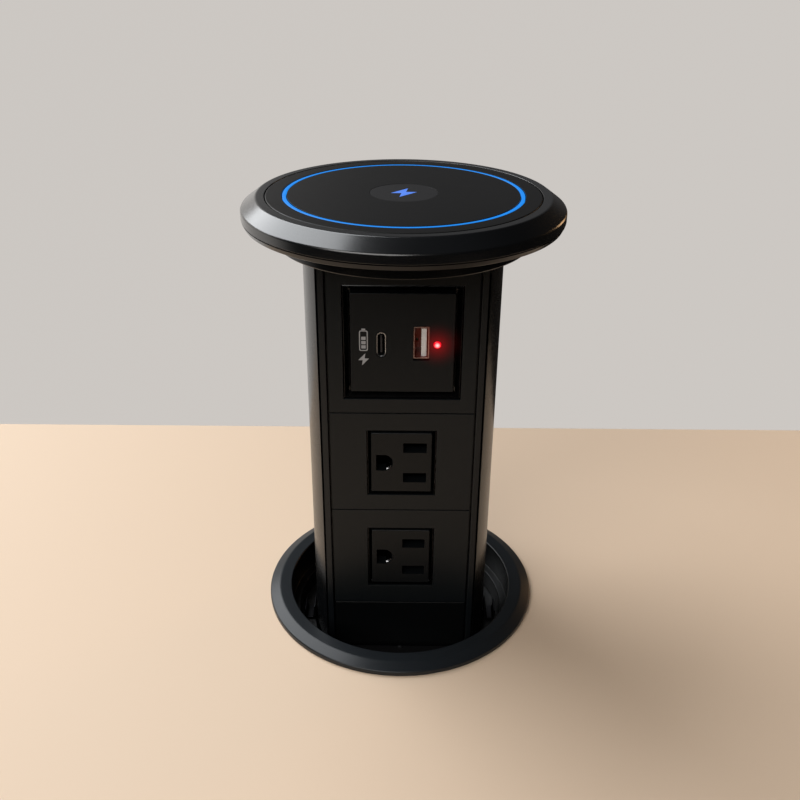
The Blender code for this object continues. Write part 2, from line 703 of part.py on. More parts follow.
def make_usb_module():
    front_panel("usb_panel", SEAM_USB, COLUMN_TOP, rectangle(USB_WINDOW, USB_CENTRE))
    bezel = [
        rectangle(grown(USB_WINDOW, -GAP), USB_CENTRE),
        rectangle(grown(USB_FACE, GAP), USB_CENTRE),
    ]
    front = COLUMN_FRONT
    plate("usb_bezel", "black_plastic", "tower", bezel, front + 1.6 * MM, front + 4.6 * MM, "front")
    face = [
        rectangle(USB_FACE, USB_CENTRE),
        rounded_rectangle(grown(USB_C_SIZE, PORT_PLAY), USB_C_CORNER + 0.1 * MM, USB_C),
        rectangle(grown(USB_A_SIZE, PORT_PLAY), USB_A),
        arc(STATUS_LED_RADIUS + PORT_PLAY, 0.0, 330.0, 11, STATUS_LED),
    ]
    plate("usb_face", "black_plastic", "tower", face, front + 0.2 * MM, front + 6.2 * MM, "front")
    port_front = front + 0.4 * MM
    shell_c = [
        rounded_rectangle(USB_C_SIZE, USB_C_CORNER, USB_C),
        rounded_rectangle(grown(USB_C_SIZE, -PORT_SHELL_WALL), USB_C_CORNER - 0.3 * MM, USB_C),
    ]
    plate("usb_c_shell", "steel", "tower", shell_c, port_front, PORT_BACK, "front")
    tongue_c = [rectangle(USB_C_TONGUE, USB_C)]
    plate("usb_c_tongue", "black_plastic", "tower", tongue_c, port_front + 0.9 * MM, PORT_BACK, "front")
    shell_a = [rectangle(USB_A_SIZE, USB_A), rectangle(grown(USB_A_SIZE, -PORT_SHELL_WALL), USB_A)]
    plate("usb_a_shell", "steel", "tower", shell_a, port_front, PORT_BACK, "front")
    tongue_a = [rectangle(USB_A_TONGUE, (USB_A[0] + USB_A_TONGUE_OFFSET, USB_A[1]))]
    plate("usb_a_tongue", "pale_plastic", "tower", tongue_a, port_front + 1.0 * MM, PORT_BACK, "front")
    lens = [arc(STATUS_LED_RADIUS, 0.0, 330.0, 11, STATUS_LED)]
    plate("status_led", "red_light", "tower", lens, front + 0.1 * MM, PORT_BACK, "front")
    low = (-USB_BOARD_HALF_WIDTH, PORT_BACK + GAP, USB_BOARD_Z[0])
    high = (USB_BOARD_HALF_WIDTH, PORT_BACK + GAP + BOARD_THICKNESS, USB_BOARD_Z[1])
    box("usb_board", "board_green", "tower", low, high)


def earth_outline(centre_z):
    """The earth pin's opening: a D with its flat side to the left."""
    half = EARTH_HEIGHT / 2
    arc_centre = (EARTH_ROUND_X - half, centre_z)
    points = arc(half, -90.0, 90.0, 8, arc_centre)
    return [(EARTH_FLAT_X, centre_z - half)] + points + [(EARTH_FLAT_X, centre_z + half)]


def spring_contact(name, x_range, z, height, depth):
    """Two brass leaves joined at the back, which grip a blade or pin between them."""
    mouth, back = depth
    leaf = CONTACT_LEAF
    half = height / 2
    outline = [
        (mouth, z + half),
        (back, z + half),
        (back, z - half),
        (mouth, z - half),
        (mouth, z - half + leaf),
        (back - leaf, z - half + leaf),
        (back - leaf, z + half - leaf),
        (mouth, z + half - leaf),
    ]
    plate(name, "brass", "tower", [outline], *x_range, "side")


def make_outlet(level, centre_z, seam_below, seam_above):
    centre = (0.0, centre_z)
    front_panel(f"outlet_panel_{level}", seam_below, seam_above, rectangle(OUTLET_WINDOW, centre))
    bezel = [rectangle(grown(OUTLET_WINDOW, -GAP), centre), rectangle(grown(OUTLET_FACE, GAP), centre)]
    bezel_front = COLUMN_FRONT + 0.5 * MM
    plate(f"outlet_bezel_{level}", "black_plastic", "tower", bezel, bezel_front, CORE_FRONT, "front")
    front = COLUMN_FRONT + 0.3 * MM
    back = front + OUTLET_DEPTH
    slots = {"line": centre_z + SLOT_HALF_SPACING, "neutral": centre_z - SLOT_HALF_SPACING}
    openings = [rectangle(SLOT_SIZE, (SLOT_X, z)) for z in slots.values()]
    openings.append(earth_outline(centre_z))
    outlines = [rectangle(OUTLET_FACE, centre)] + openings
    plate(f"outlet_face_{level}", "black_plastic", "tower", outlines, front, back, "front")
    half_width = SLOT_SIZE[0] / 2 - 0.5 * MM
    x_range = (SLOT_X - half_width, SLOT_X + half_width)
    contact_back = back - 0.5 * MM
    for pole, z in slots.items():
        depth = (front + BLADE_CONTACT_DEPTH, contact_back)
        spring_contact(f"contact_{pole}_{level}", x_range, z, BLADE_CONTACT_HEIGHT, depth)
    low = EARTH_FLAT_X + 0.5 * MM
    x_range = (low, low + EARTH_CONTACT_WIDTH)
    depth = (front + EARTH_CONTACT_DEPTH, contact_back)
    spring_contact(f"contact_earth_{level}", x_range, centre_z, EARTH_CONTACT_HEIGHT, depth)


# ---------------------------------------------------------------- cap


def make_cap_housing():
    ledge = CAP_TOP - CAP_LEDGE_DROP
    rim = [
        (CAP_CHAMFER_INNER, CAP_TOP),
        (CAP_RADIUS - 0.4 * MM, CAP_TOP - CAP_CHAMFER_DROP + GAP),
        (CAP_RADIUS, CAP_TOP - CAP_CHAMFER_DROP),
        (CAP_RADIUS, CAP_RIM_BOTTOM),
        (RIM_SEAT_RADIUS, CAP_RIM_BOTTOM),
        (RIM_SEAT_RADIUS, ledge),
        (PLATE_RADIUS + GAP, ledge),
        (PLATE_RADIUS + GAP, CAP_TOP),
    ]
    turned("cap_rim", "satin_black", "tower", rim)
    floor_top = COLLAR_BOTTOM + TRAY_FLOOR
    board_ledge = floor_top + BOARD_LEDGE_HEIGHT
    base_top = CAP_RIM_BOTTOM - GAP
    base = [
        (CAP_RADIUS - 0.1 * MM, base_top),
        (CAP_RADIUS - 1.0 * MM, CAP_UNDERSIDE),
        (COLLAR_RADIUS, CAP_UNDERSIDE),
        (COLLAR_RADIUS, COLLAR_BOTTOM + 0.4 * MM),
        (COLLAR_RADIUS - 0.4 * MM, COLLAR_BOTTOM),
        (LEAD_OPENING_RADIUS, COLLAR_BOTTOM),
        (LEAD_OPENING_RADIUS, floor_top),
        (BOARD_LEDGE_RADIUS, floor_top),
        (BOARD_LEDGE_RADIUS, board_ledge),
        (TRAY_WALL_RADIUS, board_ledge),
        (TRAY_WALL_RADIUS, base_top),
    ]
    cap_base = turned("cap_base", "satin_black", "tower", base)
    head_seat = HEAD_PLATE_BOTTOM - GAP
    profile = screw_profile(2.8 * MM, 1.4 * MM, 1.3 * MM, 10.6 * MM)
    for index, (x, y) in enumerate(CAP_SCREWS):
        hole = upright_cutter(f"cap_screw_hole_{index}", 1.6 * MM, 10.0 * MM, x, y, COLLAR_BOTTOM)
        boolean(cap_base, hole)
        screw = turned(f"cap_screw_{index + 1}", "steel", "tower", profile, SCREW_STEPS)
        screw.location = (x, y, head_seat)
        screw.rotation_euler = (math.pi, 0.0, 0.0)
    board_bottom = board_ledge + GAP
    board = disc_profile(CHARGER_BOARD_RADIUS, board_bottom + BOARD_THICKNESS, board_bottom)
    turned("charger_board", "board_green", "tower", board)


def make_charging_plate():
    plate_bottom = CAP_TOP - PLATE_THICKNESS
    groove_inner = LIGHT_RING_RADIUS - LIGHT_RING_WIDTH / 2 - GAP
    groove_outer = LIGHT_RING_RADIUS + LIGHT_RING_WIDTH / 2 + GAP
    groove_floor = CAP_TOP - 1.2 * MM
    recess_floor = CAP_TOP - 1.0 * MM
    profile = [
        (0.0, recess_floor),
        (MARK_DISC_RADIUS + GAP, recess_floor),
        (MARK_DISC_RADIUS + GAP, CAP_TOP),
        (groove_inner, CAP_TOP),
        (groove_inner, groove_floor),
        (groove_outer, groove_floor),
        (groove_outer, CAP_TOP),
        (PLATE_RADIUS - 0.3 * MM, CAP_TOP),
        (PLATE_RADIUS, CAP_TOP - 0.3 * MM),
        (PLATE_RADIUS, plate_bottom),
        (0.0, plate_bottom),
    ]
    turned("charge_plate", "charge_glass", "tower", profile)
    inner = LIGHT_RING_RADIUS - LIGHT_RING_WIDTH / 2
    outer = LIGHT_RING_RADIUS + LIGHT_RING_WIDTH / 2
    guide = ring_profile(outer, inner, CAP_TOP - 0.05 * MM, groove_floor + GAP)
    turned("light_ring", "blue_light", "tower", guide)
    inlay_low = recess_floor + GAP
    inlay_high = CAP_TOP - 0.05 * MM
    disc = [circle(MARK_DISC_RADIUS, 32), bolt_outline(MARK_OPENING_SIZE)]
    plate("mark_disc", "charge_glass", "tower", disc, inlay_low, inlay_high)
    plate("charge_mark", "blue_light", "tower", [bolt_outline(MARK_SIZE)], inlay_low, inlay_high)


def make_charger():
    carrier_bottom = CAP_RIM_BOTTOM
    carrier_top = carrier_bottom + 1.2 * MM
    ferrite_top = carrier_top + 1.1 * MM
    carrier = disc_profile(CARRIER_RADIUS, carrier_top, carrier_bottom)
    turned("coil_carrier", "pale_plastic", "tower", carrier, STEPS_HIDDEN)
    ferrite = disc_profile(FERRITE_RADIUS, ferrite_top, carrier_top + GAP)
    turned("ferrite_disc", "ferrite", "tower", ferrite, STEPS_HIDDEN)
    inner, outer = COIL_RADII
    winding = ring_profile(outer, inner, ferrite_top + GAP + 1.2 * MM, ferrite_top + GAP)
    turned("charging_coil", "copper", "tower", winding, STEPS_HIDDEN)


clear_scene()
parts = new_collection(COLLECTION)
cutters = new_collection(COLLECTION + "_cutters")
bodies = {}
for body_name in ("housing", "tower", "clamp_washer", "clamp_nut"):
    empty = bpy.data.objects.new(body_name + "_body", None)
    parts.objects.link(empty)
    bodies[body_name] = empty

make_flange()
make_sleeve()
make_end_cap()
make_guides()
make_clamp()
make_column_shells()
make_rails()
make_column_core()
make_foot()
make_cord_gland()
make_usb_module()
make_outlet("upper", OUTLET_CENTRES["upper"], SEAM_OUTLETS, SEAM_USB)
make_outlet("lower", OUTLET_CENTRES["lower"], SEAM_LOWER, SEAM_OUTLETS)
front_panel("lower_panel", COLUMN_BOTTOM, SEAM_LOWER)
make_cap_housing()
make_charging_plate()
make_charger()
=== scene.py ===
"""Looks of a retractable power tower for a worktop.

The column slides in a sleeve that a ring nut clamps in the worktop. It carries two outlets, a USB insert
and a round cap with a wireless charging plate. Sizes are in metres, +Z is up, the outlets face -Y, and the
worktop's top is at z = 0.
"""

import logging
import math
from dataclasses import dataclass, field
from enum import Enum
from typing import Callable, Iterable, Sequence

import bmesh
import bpy
from mathutils import Matrix, Vector


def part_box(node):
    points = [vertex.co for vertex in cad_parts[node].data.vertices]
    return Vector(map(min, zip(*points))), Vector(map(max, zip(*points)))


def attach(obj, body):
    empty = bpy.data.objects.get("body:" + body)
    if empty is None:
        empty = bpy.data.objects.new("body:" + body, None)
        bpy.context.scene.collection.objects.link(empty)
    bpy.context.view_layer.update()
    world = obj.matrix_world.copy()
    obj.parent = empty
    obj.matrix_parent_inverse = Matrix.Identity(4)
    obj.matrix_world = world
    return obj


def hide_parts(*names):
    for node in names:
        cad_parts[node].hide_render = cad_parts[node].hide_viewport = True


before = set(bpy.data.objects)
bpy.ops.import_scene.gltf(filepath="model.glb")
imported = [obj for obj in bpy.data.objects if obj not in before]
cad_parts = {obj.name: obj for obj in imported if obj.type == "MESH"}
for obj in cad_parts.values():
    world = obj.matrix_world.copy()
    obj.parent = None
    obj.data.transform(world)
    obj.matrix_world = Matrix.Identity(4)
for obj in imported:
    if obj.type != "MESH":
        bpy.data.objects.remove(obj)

LOG = logging.getLogger("power_tower")
MM = 0.001
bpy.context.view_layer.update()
STEPS_CAP = 224
STEPS_FLANGE = 192
STEPS_LARGE = 160
STEPS_SLEEVE = 144
STEPS_MEDIUM = 128
STEPS_SMALL = 32
FILLET_STEPS = 4
LARGE_FILLET = 2.0 * MM
LARGE_FILLET_STEPS = 8
MERGE_DISTANCE = 0.0005 * MM
SMOOTH_LIMIT = math.radians(32.0)
FRAME_SMOOTH_LIMIT = math.radians(15.0)
# Painted shade inside a bore: the width over which it fades in at the bore's radius, and the share of the
# colour that is left inside.
BORE_EDGE = 0.2 * MM
BORE_DIM = 0.07

Corner = tuple[float, float, float]
Point = tuple[float, float, float]
Colour = tuple[float, float, float]
Mesh = bmesh.types.BMesh
Tree = bpy.types.NodeTree
Socket = bpy.types.NodeSocket


class Body(Enum):
    """The bodies that move on their own."""

    HOUSING = "housing"
    TOWER = "tower"
    WASHER = "clamp_washer"
    NUT = "clamp_nut"


class Slot(Enum):
    """The material slots of the record."""

    SATIN = "satin_black"
    PLASTIC = "black_plastic"
    GREY = "grey_plastic"
    PLATE = "charge_glass"
    BLUE = "blue_light"
    RED = "red_light"
    STEEL = "steel"
    BRASS = "brass"
    COPPER = "copper"
    PALE = "pale_plastic"
    BOARD = "board_green"
    FERRITE = "ferrite"
    RUBBER = "rubber"
    NYLON = "nylon"


class Kind(Enum):
    """The kinds of socket that a shader group has."""

    FLOAT = "NodeSocketFloat"
    COLOUR = "NodeSocketColor"
    VECTOR = "NodeSocketVector"


class Facing(Enum):
    """Where a flat outline faces, and so which way its depth runs."""

    UP = "up"
    FRONT = "front"
    SIDE = "side"

    def matrix(self) -> Matrix:
        """Returns the turn from outline and depth to the object's own axes."""
        rows = {
            "up": ((1, 0, 0), (0, 1, 0), (0, 0, 1)),
            "front": ((1, 0, 0), (0, 0, 1), (0, 1, 0)),
            "side": ((0, 0, 1), (1, 0, 0), (0, 1, 0)),
        }
        return Matrix(rows[self.value]).to_4x4()


@dataclass(frozen=True)
class Extent:
    """The box of one CAD node at rest."""

    low: Vector
    high: Vector

    @classmethod
    def of(cls, node: str) -> "Extent":
        """Returns the box of the node with that name."""
        low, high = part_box(node)
        return cls(Vector(low), Vector(high))

    @property
    def centre(self) -> Vector:
        """The middle of the box."""
        return (self.low + self.high) / 2

    @property
    def size(self) -> Vector:
        """The box's three sides."""
        return self.high - self.low


def extent(node: str) -> "Extent":
    """Returns a dataclass field that holds the box of a CAD node."""
    return field(default_factory=lambda: Extent.of(node))


# ---------------------------------------------------------------- shapes


@dataclass(frozen=True)
class Round:
    """A round outline, cut off by a straight side at the front where it has a flat."""

    radius: float
    steps: int
    u: float = 0.0
    v: float = 0.0
    flat: float | None = None

    def draw(self, shape: Mesh, depth: float) -> None:
        """Adds the outline to a mesh.

        Args:
            shape: The mesh to add to.
            depth: The outline's place along the depth.
        """
        place = Matrix.Translation((self.u, self.v, depth))
        verts = bmesh.ops.create_circle(shape, segments=self.steps, radius=self.radius, matrix=place)["verts"]
        if self.flat is None:
            return
        edges = list({edge for vert in verts for edge in vert.link_edges})
        cut = bmesh.ops.bisect_plane(
            shape,
            geom=verts + edges,
            dist=MERGE_DISTANCE,
            plane_co=(0.0, self.flat, 0.0),
            plane_no=(0.0, -1.0, 0.0),
            clear_outer=True,
        )
        ends = [item for item in cut["geom_cut"] if isinstance(item, bmesh.types.BMVert)]
        bmesh.ops.contextual_create(shape, geom=ends)


Outline = Sequence[Corner] | Round


def round_corners(shape: Mesh, verts: Sequence[bmesh.types.BMVert], corners: Sequence[Corner]) -> None:
    """Rounds the corners of a wire outline, each with its own fillet.

    Args:
        shape: The mesh that holds the outline.
        verts: Its corner points.
        corners: The same corners as (u, v, fillet).
    """
    for fillet in sorted({corner[2] for corner in corners if corner[2] > 0.0}):
        chosen = [vert for vert, corner in zip(verts, corners) if corner[2] == fillet]
        steps = FILLET_STEPS if fillet < LARGE_FILLET else LARGE_FILLET_STEPS
        bmesh.ops.bevel(
            shape,
            geom=chosen,
            offset=fillet,
            offset_type="OFFSET",
            segments=steps,
            profile=0.5,
            affect="VERTICES",
            material=-1,
        )


def add_loop(shape: Mesh, outline: Outline, depth: float = 0.0) -> list[bmesh.types.BMEdge]:
    """Adds a closed outline.

    Args:
        shape: The mesh to add to.
        outline: A round outline, or corners as (u, v, fillet).
        depth: Its place along the depth.

    Returns:
        The outline's edges.
    """
    before = set(shape.edges)
    if isinstance(outline, Round):
        outline.draw(shape, depth)
    else:
        verts = [shape.verts.new((u, v, depth)) for u, v, _ in outline]
        for start, end in zip(verts, verts[1:] + verts[:1]):
            shape.edges.new((start, end))
        round_corners(shape, verts, outline)
    return [edge for edge in shape.edges if edge not in before]


def tidy(shape: Mesh) -> Mesh:
    """Merges doubles and turns the faces outwards.

    Args:
        shape: The mesh to tidy.

    Returns:
        The same mesh.
    """
    bmesh.ops.remove_doubles(shape, verts=shape.verts, dist=MERGE_DISTANCE)
    bmesh.ops.recalc_face_normals(shape, faces=shape.faces)
    if shape.calc_volume(signed=True) < 0.0:
        bmesh.ops.reverse_faces(shape, faces=shape.faces)
    return shape


def soften(
    shape: Mesh,
    width: float,
    segments: int = 2,
    where: Callable[[Vector], bool] = lambda middle: True,
    limit: float = 50.0,
) -> Mesh:
    """Rounds the sharp edges of a solid.

    Args:
        shape: The solid.
        width: The rounding's width.
        segments: The rounding's steps.
        where: Says from an edge's middle whether it is rounded.
        limit: The least angle of a sharp edge, in degrees.

    Returns:
        The same mesh.
    """
    least = math.radians(limit)
    edges = []
    for edge in shape.edges:
        middle = (edge.verts[0].co + edge.verts[1].co) / 2
        if edge.is_manifold and edge.calc_face_angle() > least and where(middle):
            edges.append(edge)
    bmesh.ops.bevel(
        shape,
        geom=edges,
        offset=width,
        offset_type="OFFSET",
        segments=segments,
        profile=0.5,
        affect="EDGES",
        material=-1,
        clamp_overlap=True,
    )
    return shape


def soften_front(shape: Mesh, face: Extent, rim: float, openings: float) -> None:
    """Rounds the front edges of an insert's face: its outer rim widely, and its openings finely.

    Args:
        shape: The face.
        face: The face's box.
        rim: The rounding of the outer rim.
        openings: The rounding of the openings.
    """
    front = face.low.y + 0.05 * MM
    band = 0.6 * MM

    def on_rim(point: Vector) -> bool:
        """Tells the outer rim of the front from the openings' rims."""
        wide = abs(point.x) > face.size.x / 2 - band
        tall = abs(point.z - face.centre.z) > face.size.z / 2 - band
        return point.y < front and (wide or tall)

    soften(shape, rim, 4, on_rim)
    soften(shape, openings, 2, lambda point: point.y < front and not on_rim(point), 60.0)


def turned(corners: Sequence[Corner], steps: int = STEPS_LARGE, closed: bool = True) -> Mesh:
    """Spins a section round the Z axis.

    Args:
        corners: The section's corners as (radius, z, fillet).
        steps: The steps of a full turn.
        closed: False for a section that starts and ends on the axis.

    Returns:
        The closed solid.
    """
    shape = bmesh.new()
    verts = [shape.verts.new((radius, 0.0, z)) for radius, z, _ in corners]
    ends = verts[1:] + (verts[:1] if closed else [])
    for start, end in zip(verts, ends):
        shape.edges.new((start, end))
    round_corners(shape, verts, corners)
    bmesh.ops.spin(
        shape,
        geom=shape.verts[:] + shape.edges[:],
        cent=(0.0, 0.0, 0.0),
        axis=(0.0, 0.0, 1.0),
        angle=math.tau,
        steps=steps,
        use_merge=True,
    )
    return tidy(shape)


def prism(outlines: Sequence[Outline], facing: Facing, low: float, high: float) -> Mesh:
    """Gives a flat outline, with its holes, a depth.

    Args:
        outlines: The outer outline and then the holes.
        facing: Where the outline faces.
        low: Where the depth starts.
        high: Where the depth ends.

    Returns:
        The closed solid.
    """
    shape = bmesh.new()
    for outline in outlines:
        add_loop(shape, outline, low)
    if len(outlines) == 1:
        bmesh.ops.contextual_create(shape, geom=shape.edges[:])
    else:
        bmesh.ops.triangle_fill(shape, use_beauty=True, use_dissolve=True, edges=shape.edges[:])
    made = bmesh.ops.extrude_face_region(shape, geom=shape.faces[:])["geom"]
    moved = [item for item in made if isinstance(item, bmesh.types.BMVert)]
    bmesh.ops.translate(shape, verts=moved, vec=(0.0, 0.0, high - low))
    bmesh.ops.transform(shape, matrix=facing.matrix(), verts=shape.verts)
    return tidy(shape)


def loop_stack(loops: Sequence[tuple[Outline, float]], facing: Facing) -> Mesh:
    """Joins outlines at several depths into a frame, whose last outline joins its first.

    Args:
        loops: Pairs of an outline and its depth, all with as many corners.
        facing: Where the outlines face.

    Returns:
        The closed solid.
    """
    shape = bmesh.new()
    made = [add_loop(shape, outline, depth) for outline, depth in loops]
    for first, second in zip(made, made[1:] + made[:1]):
        bmesh.ops.bridge_loops(shape, edges=first + second)
    bmesh.ops.transform(shape, matrix=facing.matrix(), verts=shape.verts)
    return tidy(shape)


def curved_wall(
    outer: tuple[float, float, float], inner: tuple[float, float, float], low: float, high: float, steps: int
) -> Mesh:
    """Makes an upright wall that follows part of a circle.

    Args:
        outer: The outer face's radius and its first and last angle in degrees.
        inner: The same for the inner face.
        low: The wall's bottom.
        high: The wall's top.
        steps: The steps along the wall.

    Returns:
        The closed solid.
    """
    shape = bmesh.new()
    for radius, start, end in (outer, inner):
        turn = math.radians(start)
        foot = Vector((radius * math.cos(turn), radius * math.sin(turn), low))
        pair = [shape.verts.new(foot), shape.verts.new((foot.x, foot.y, high))]
        edge = shape.edges.new(pair)
        bmesh.ops.spin(
            shape,
            geom=pair + [edge],
            cent=(0.0, 0.0, 0.0),
            axis=(0.0, 0.0, 1.0),
            angle=math.radians(end - start),
            steps=steps,
            use_merge=False,
        )
    rims = [edge for edge in shape.edges if edge.is_boundary]
    bmesh.ops.bridge_loops(shape, edges=rims)
    return tidy(shape)


def rectangle(
    width: float, height: float, fillet: float = 0.0, u: float = 0.0, v: float = 0.0
) -> list[Corner]:
    """Returns the corners of a rectangle.

    Args:
        width: Its width.
        height: Its height.
        fillet: The rounding of its corners.
        u: Its middle.
        v: Its middle.

    Returns:
        Its corners.
    """
    a = width / 2
    b = height / 2
    return [(u - a, v - b, fillet), (u + a, v - b, fillet), (u + a, v + b, fillet), (u - a, v + b, fillet)]


def mirrored(corners: Sequence[Corner]) -> list[Corner]:
    """Returns the outline on the other side of the middle."""
    return [(-u, v, fillet) for u, v, fillet in corners]


def bolt(size: float, u: float = 0.0, v: float = 0.0, fillet: float = 0.0) -> list[Corner]:
    """Returns a plain lightning bolt, whose lower half is its upper half turned round.

    Args:
        size: Its length.
        u: Its middle.
        v: Its middle.
        fillet: The rounding of its corners.

    Returns:
        Its corners.
    """
    half = [(0.26, 1.0), (-0.80, -0.14), (-0.14, -0.14)]
    points = half + [(-x, -y) for x, y in half]
    return [(u + x * size / 2, v + y * size / 2, fillet) for x, y in points]


def moved(shape: Mesh, matrix: Matrix) -> Mesh:
    """Moves a whole shape and returns it."""
    bmesh.ops.transform(shape, matrix=matrix, verts=shape.verts)
    return shape


def merged(shapes: Iterable[Mesh]) -> Mesh:
    """Gathers several shapes in one mesh.

    Args:
        shapes: The shapes, which are used up.

    Returns:
        The mesh with all of them.
    """
    whole = bmesh.new()
    for shape in shapes:
        mesh = bpy.data.meshes.new("gathered")
        shape.to_mesh(mesh)
        shape.free()
        whole.from_mesh(mesh)
        bpy.data.meshes.remove(mesh)
    return whole


def carved(shape: Mesh, tool: Mesh) -> Mesh:
    """Cuts one shape from another.

    Args:
        shape: The solid that is cut.
        tool: The solid to take away.

    Returns:
        What is left.
    """
    pair = []
    for part in (shape, tool):
        mesh = bpy.data.meshes.new("carving")
        part.to_mesh(mesh)
        part.free()
        obj = bpy.data.objects.new("carving", mesh)
        bpy.context.scene.collection.objects.link(obj)
        pair.append(obj)
    modifier = pair[0].modifiers.new("cut", "BOOLEAN")
    modifier.object = pair[1]
    modifier.solver = "EXACT"
    graph = bpy.context.evaluated_depsgraph_get()
    cut = bpy.data.meshes.new_from_object(pair[0].evaluated_get(graph))
    result = bmesh.new()
    result.from_mesh(cut)
    bpy.data.meshes.remove(cut)
    for obj in pair:
        mesh = obj.data
        bpy.data.objects.remove(obj)
        bpy.data.meshes.remove(mesh)
    return tidy(result)


def outward(angle: float, radius: float, z: float) -> Matrix:
    """Returns the place of something that points away from the axis.

    Args:
        angle: Where it is round the axis, in degrees.
        radius: How far it is from the axis.
        z: Its height.

    Returns:
        The transform, which turns +Z outwards.
    """
    turn = math.radians(angle)
    place = Matrix.Translation((radius * math.cos(turn), radius * math.sin(turn), z))
    return place @ Matrix.Rotation(turn, 4, "Z") @ Matrix.Rotation(math.pi / 2, 4, "Y")


# ---------------------------------------------------------------- shared shader groups


def add_node(
    tree: Tree, kind: str, inputs: dict[str, object] | None = None, **settings: object
) -> bpy.types.Node:
    """Adds a node.

    Args:
        tree: The node tree.
        kind: The node's type.
        inputs: Values for its sockets, by name.
        settings: Its own settings.

    Returns:
        The node.
    """
    node = tree.nodes.new(kind)
    for name, value in settings.items():
        setattr(node, name, value)
    for name, value in (inputs or {}).items():
        node.inputs[name].default_value = value
    return node


def new_group(
    name: str, inputs: dict[str, Kind], outputs: dict[str, Kind]
) -> tuple[Tree, bpy.types.Node, bpy.types.Node]:
    """Starts a shader node group.

    Args:
        name: The group's name.
        inputs: Its input sockets and their kinds.
        outputs: Its output sockets and their kinds.

    Returns:
        The tree, its input node and its output node.
    """
    tree = bpy.data.node_groups.new(name, "ShaderNodeTree")
    for label, kind in inputs.items():
        tree.interface.new_socket(name=label, in_out="INPUT", socket_type=kind.value)
    for label, kind in outputs.items():
        tree.interface.new_socket(name=label, in_out="OUTPUT", socket_type=kind.value)
    return tree, tree.nodes.new("NodeGroupInput"), tree.nodes.new("NodeGroupOutput")


def math_node(tree: Tree, operation: str, first: object, second: object = None) -> object:
    """Adds a Math node.

    Args:
        tree: The node tree.
        operation: What it does.
        first: Its first value, a number or a socket.
        second: Its second value, a number or a socket.

    Returns:
        Its output socket.
    """
    node = add_node(tree, "ShaderNodeMath", operation=operation)
    for index, value in enumerate((first, second)):
        if isinstance(value, Socket):
            tree.links.new(value, node.inputs[index])
        elif value is not None:
            node.inputs[index].default_value = value
    return node.outputs[0]


def build_surface_group() -> Tree:
    """Builds the group that varies a finish: slow clouds in colour and gloss, and a fine grain in height.

    Returns:
        The group, with Colour, Roughness and Height out.
    """
    inputs = {
        "Colour": Kind.COLOUR,
        "Shade": Kind.FLOAT,
        "Roughness": Kind.FLOAT,
        "Spread": Kind.FLOAT,
        "Cloud Scale": Kind.FLOAT,
        "Grain Scale": Kind.FLOAT,
        "Stretch": Kind.VECTOR,
    }
    outputs = {"Colour": Kind.COLOUR, "Roughness": Kind.FLOAT, "Height": Kind.FLOAT}
    tree, given, result = new_group("surface_variation", inputs, outputs)
    place = add_node(tree, "ShaderNodeTexCoord")
    stretch = add_node(tree, "ShaderNodeVectorMath", operation="MULTIPLY")
    tree.links.new(place.outputs["Object"], stretch.inputs[0])
    tree.links.new(given.outputs["Stretch"], stretch.inputs[1])
    cloud = add_node(tree, "ShaderNodeTexNoise", {"Detail": 4.0, "Roughness": 0.6})
    tree.links.new(place.outputs["Object"], cloud.inputs["Vector"])
    tree.links.new(given.outputs["Cloud Scale"], cloud.inputs["Scale"])
    grain = add_node(tree, "ShaderNodeTexNoise", {"Detail": 2.0, "Roughness": 0.55})
    tree.links.new(stretch.outputs[0], grain.inputs["Vector"])
    tree.links.new(given.outputs["Grain Scale"], grain.inputs["Scale"])
    centred = math_node(tree, "SUBTRACT", cloud.outputs["Fac"], 0.5)
    speck = math_node(tree, "SUBTRACT", grain.outputs["Fac"], 0.5)
    both = math_node(tree, "ADD", centred, math_node(tree, "MULTIPLY", speck, 0.6))
    shade = math_node(tree, "MULTIPLY", both, given.outputs["Shade"])
    gain = math_node(tree, "ADD", math_node(tree, "MULTIPLY", shade, 2.0), 1.0)
    tint = add_node(tree, "ShaderNodeVectorMath", operation="SCALE")
    tree.links.new(given.outputs["Colour"], tint.inputs[0])
    tree.links.new(gain, tint.inputs["Scale"])
    tree.links.new(tint.outputs[0], result.inputs["Colour"])
    spread = math_node(tree, "MULTIPLY", both, given.outputs["Spread"])
    rough = math_node(tree, "ADD", given.outputs["Roughness"], math_node(tree, "MULTIPLY", spread, 2.0))
    tree.links.new(rough, result.inputs["Roughness"])
    tree.links.new(grain.outputs["Fac"], result.inputs["Height"])
    return tree


def build_halo_group() -> Tree:
    """Builds the group that fades from 1 at a point to 0 at a distance from it.

    Returns:
        The group, with Mask out.
    """
    inputs = {"Centre": Kind.VECTOR, "Reach": Kind.FLOAT, "Power": Kind.FLOAT}
    tree, given, result = new_group("halo", inputs, {"Mask": Kind.FLOAT})
    place = add_node(tree, "ShaderNodeTexCoord")
    away = add_node(tree, "ShaderNodeVectorMath", operation="DISTANCE")
    tree.links.new(place.outputs["Object"], away.inputs[0])
    tree.links.new(given.outputs["Centre"], away.inputs[1])
    share = math_node(tree, "DIVIDE", away.outputs["Value"], given.outputs["Reach"])
    fade = math_node(tree, "MAXIMUM", math_node(tree, "SUBTRACT", 1.0, share), 0.0)
    tree.links.new(math_node(tree, "POWER", fade, given.outputs["Power"]), result.inputs["Mask"])
    return tree


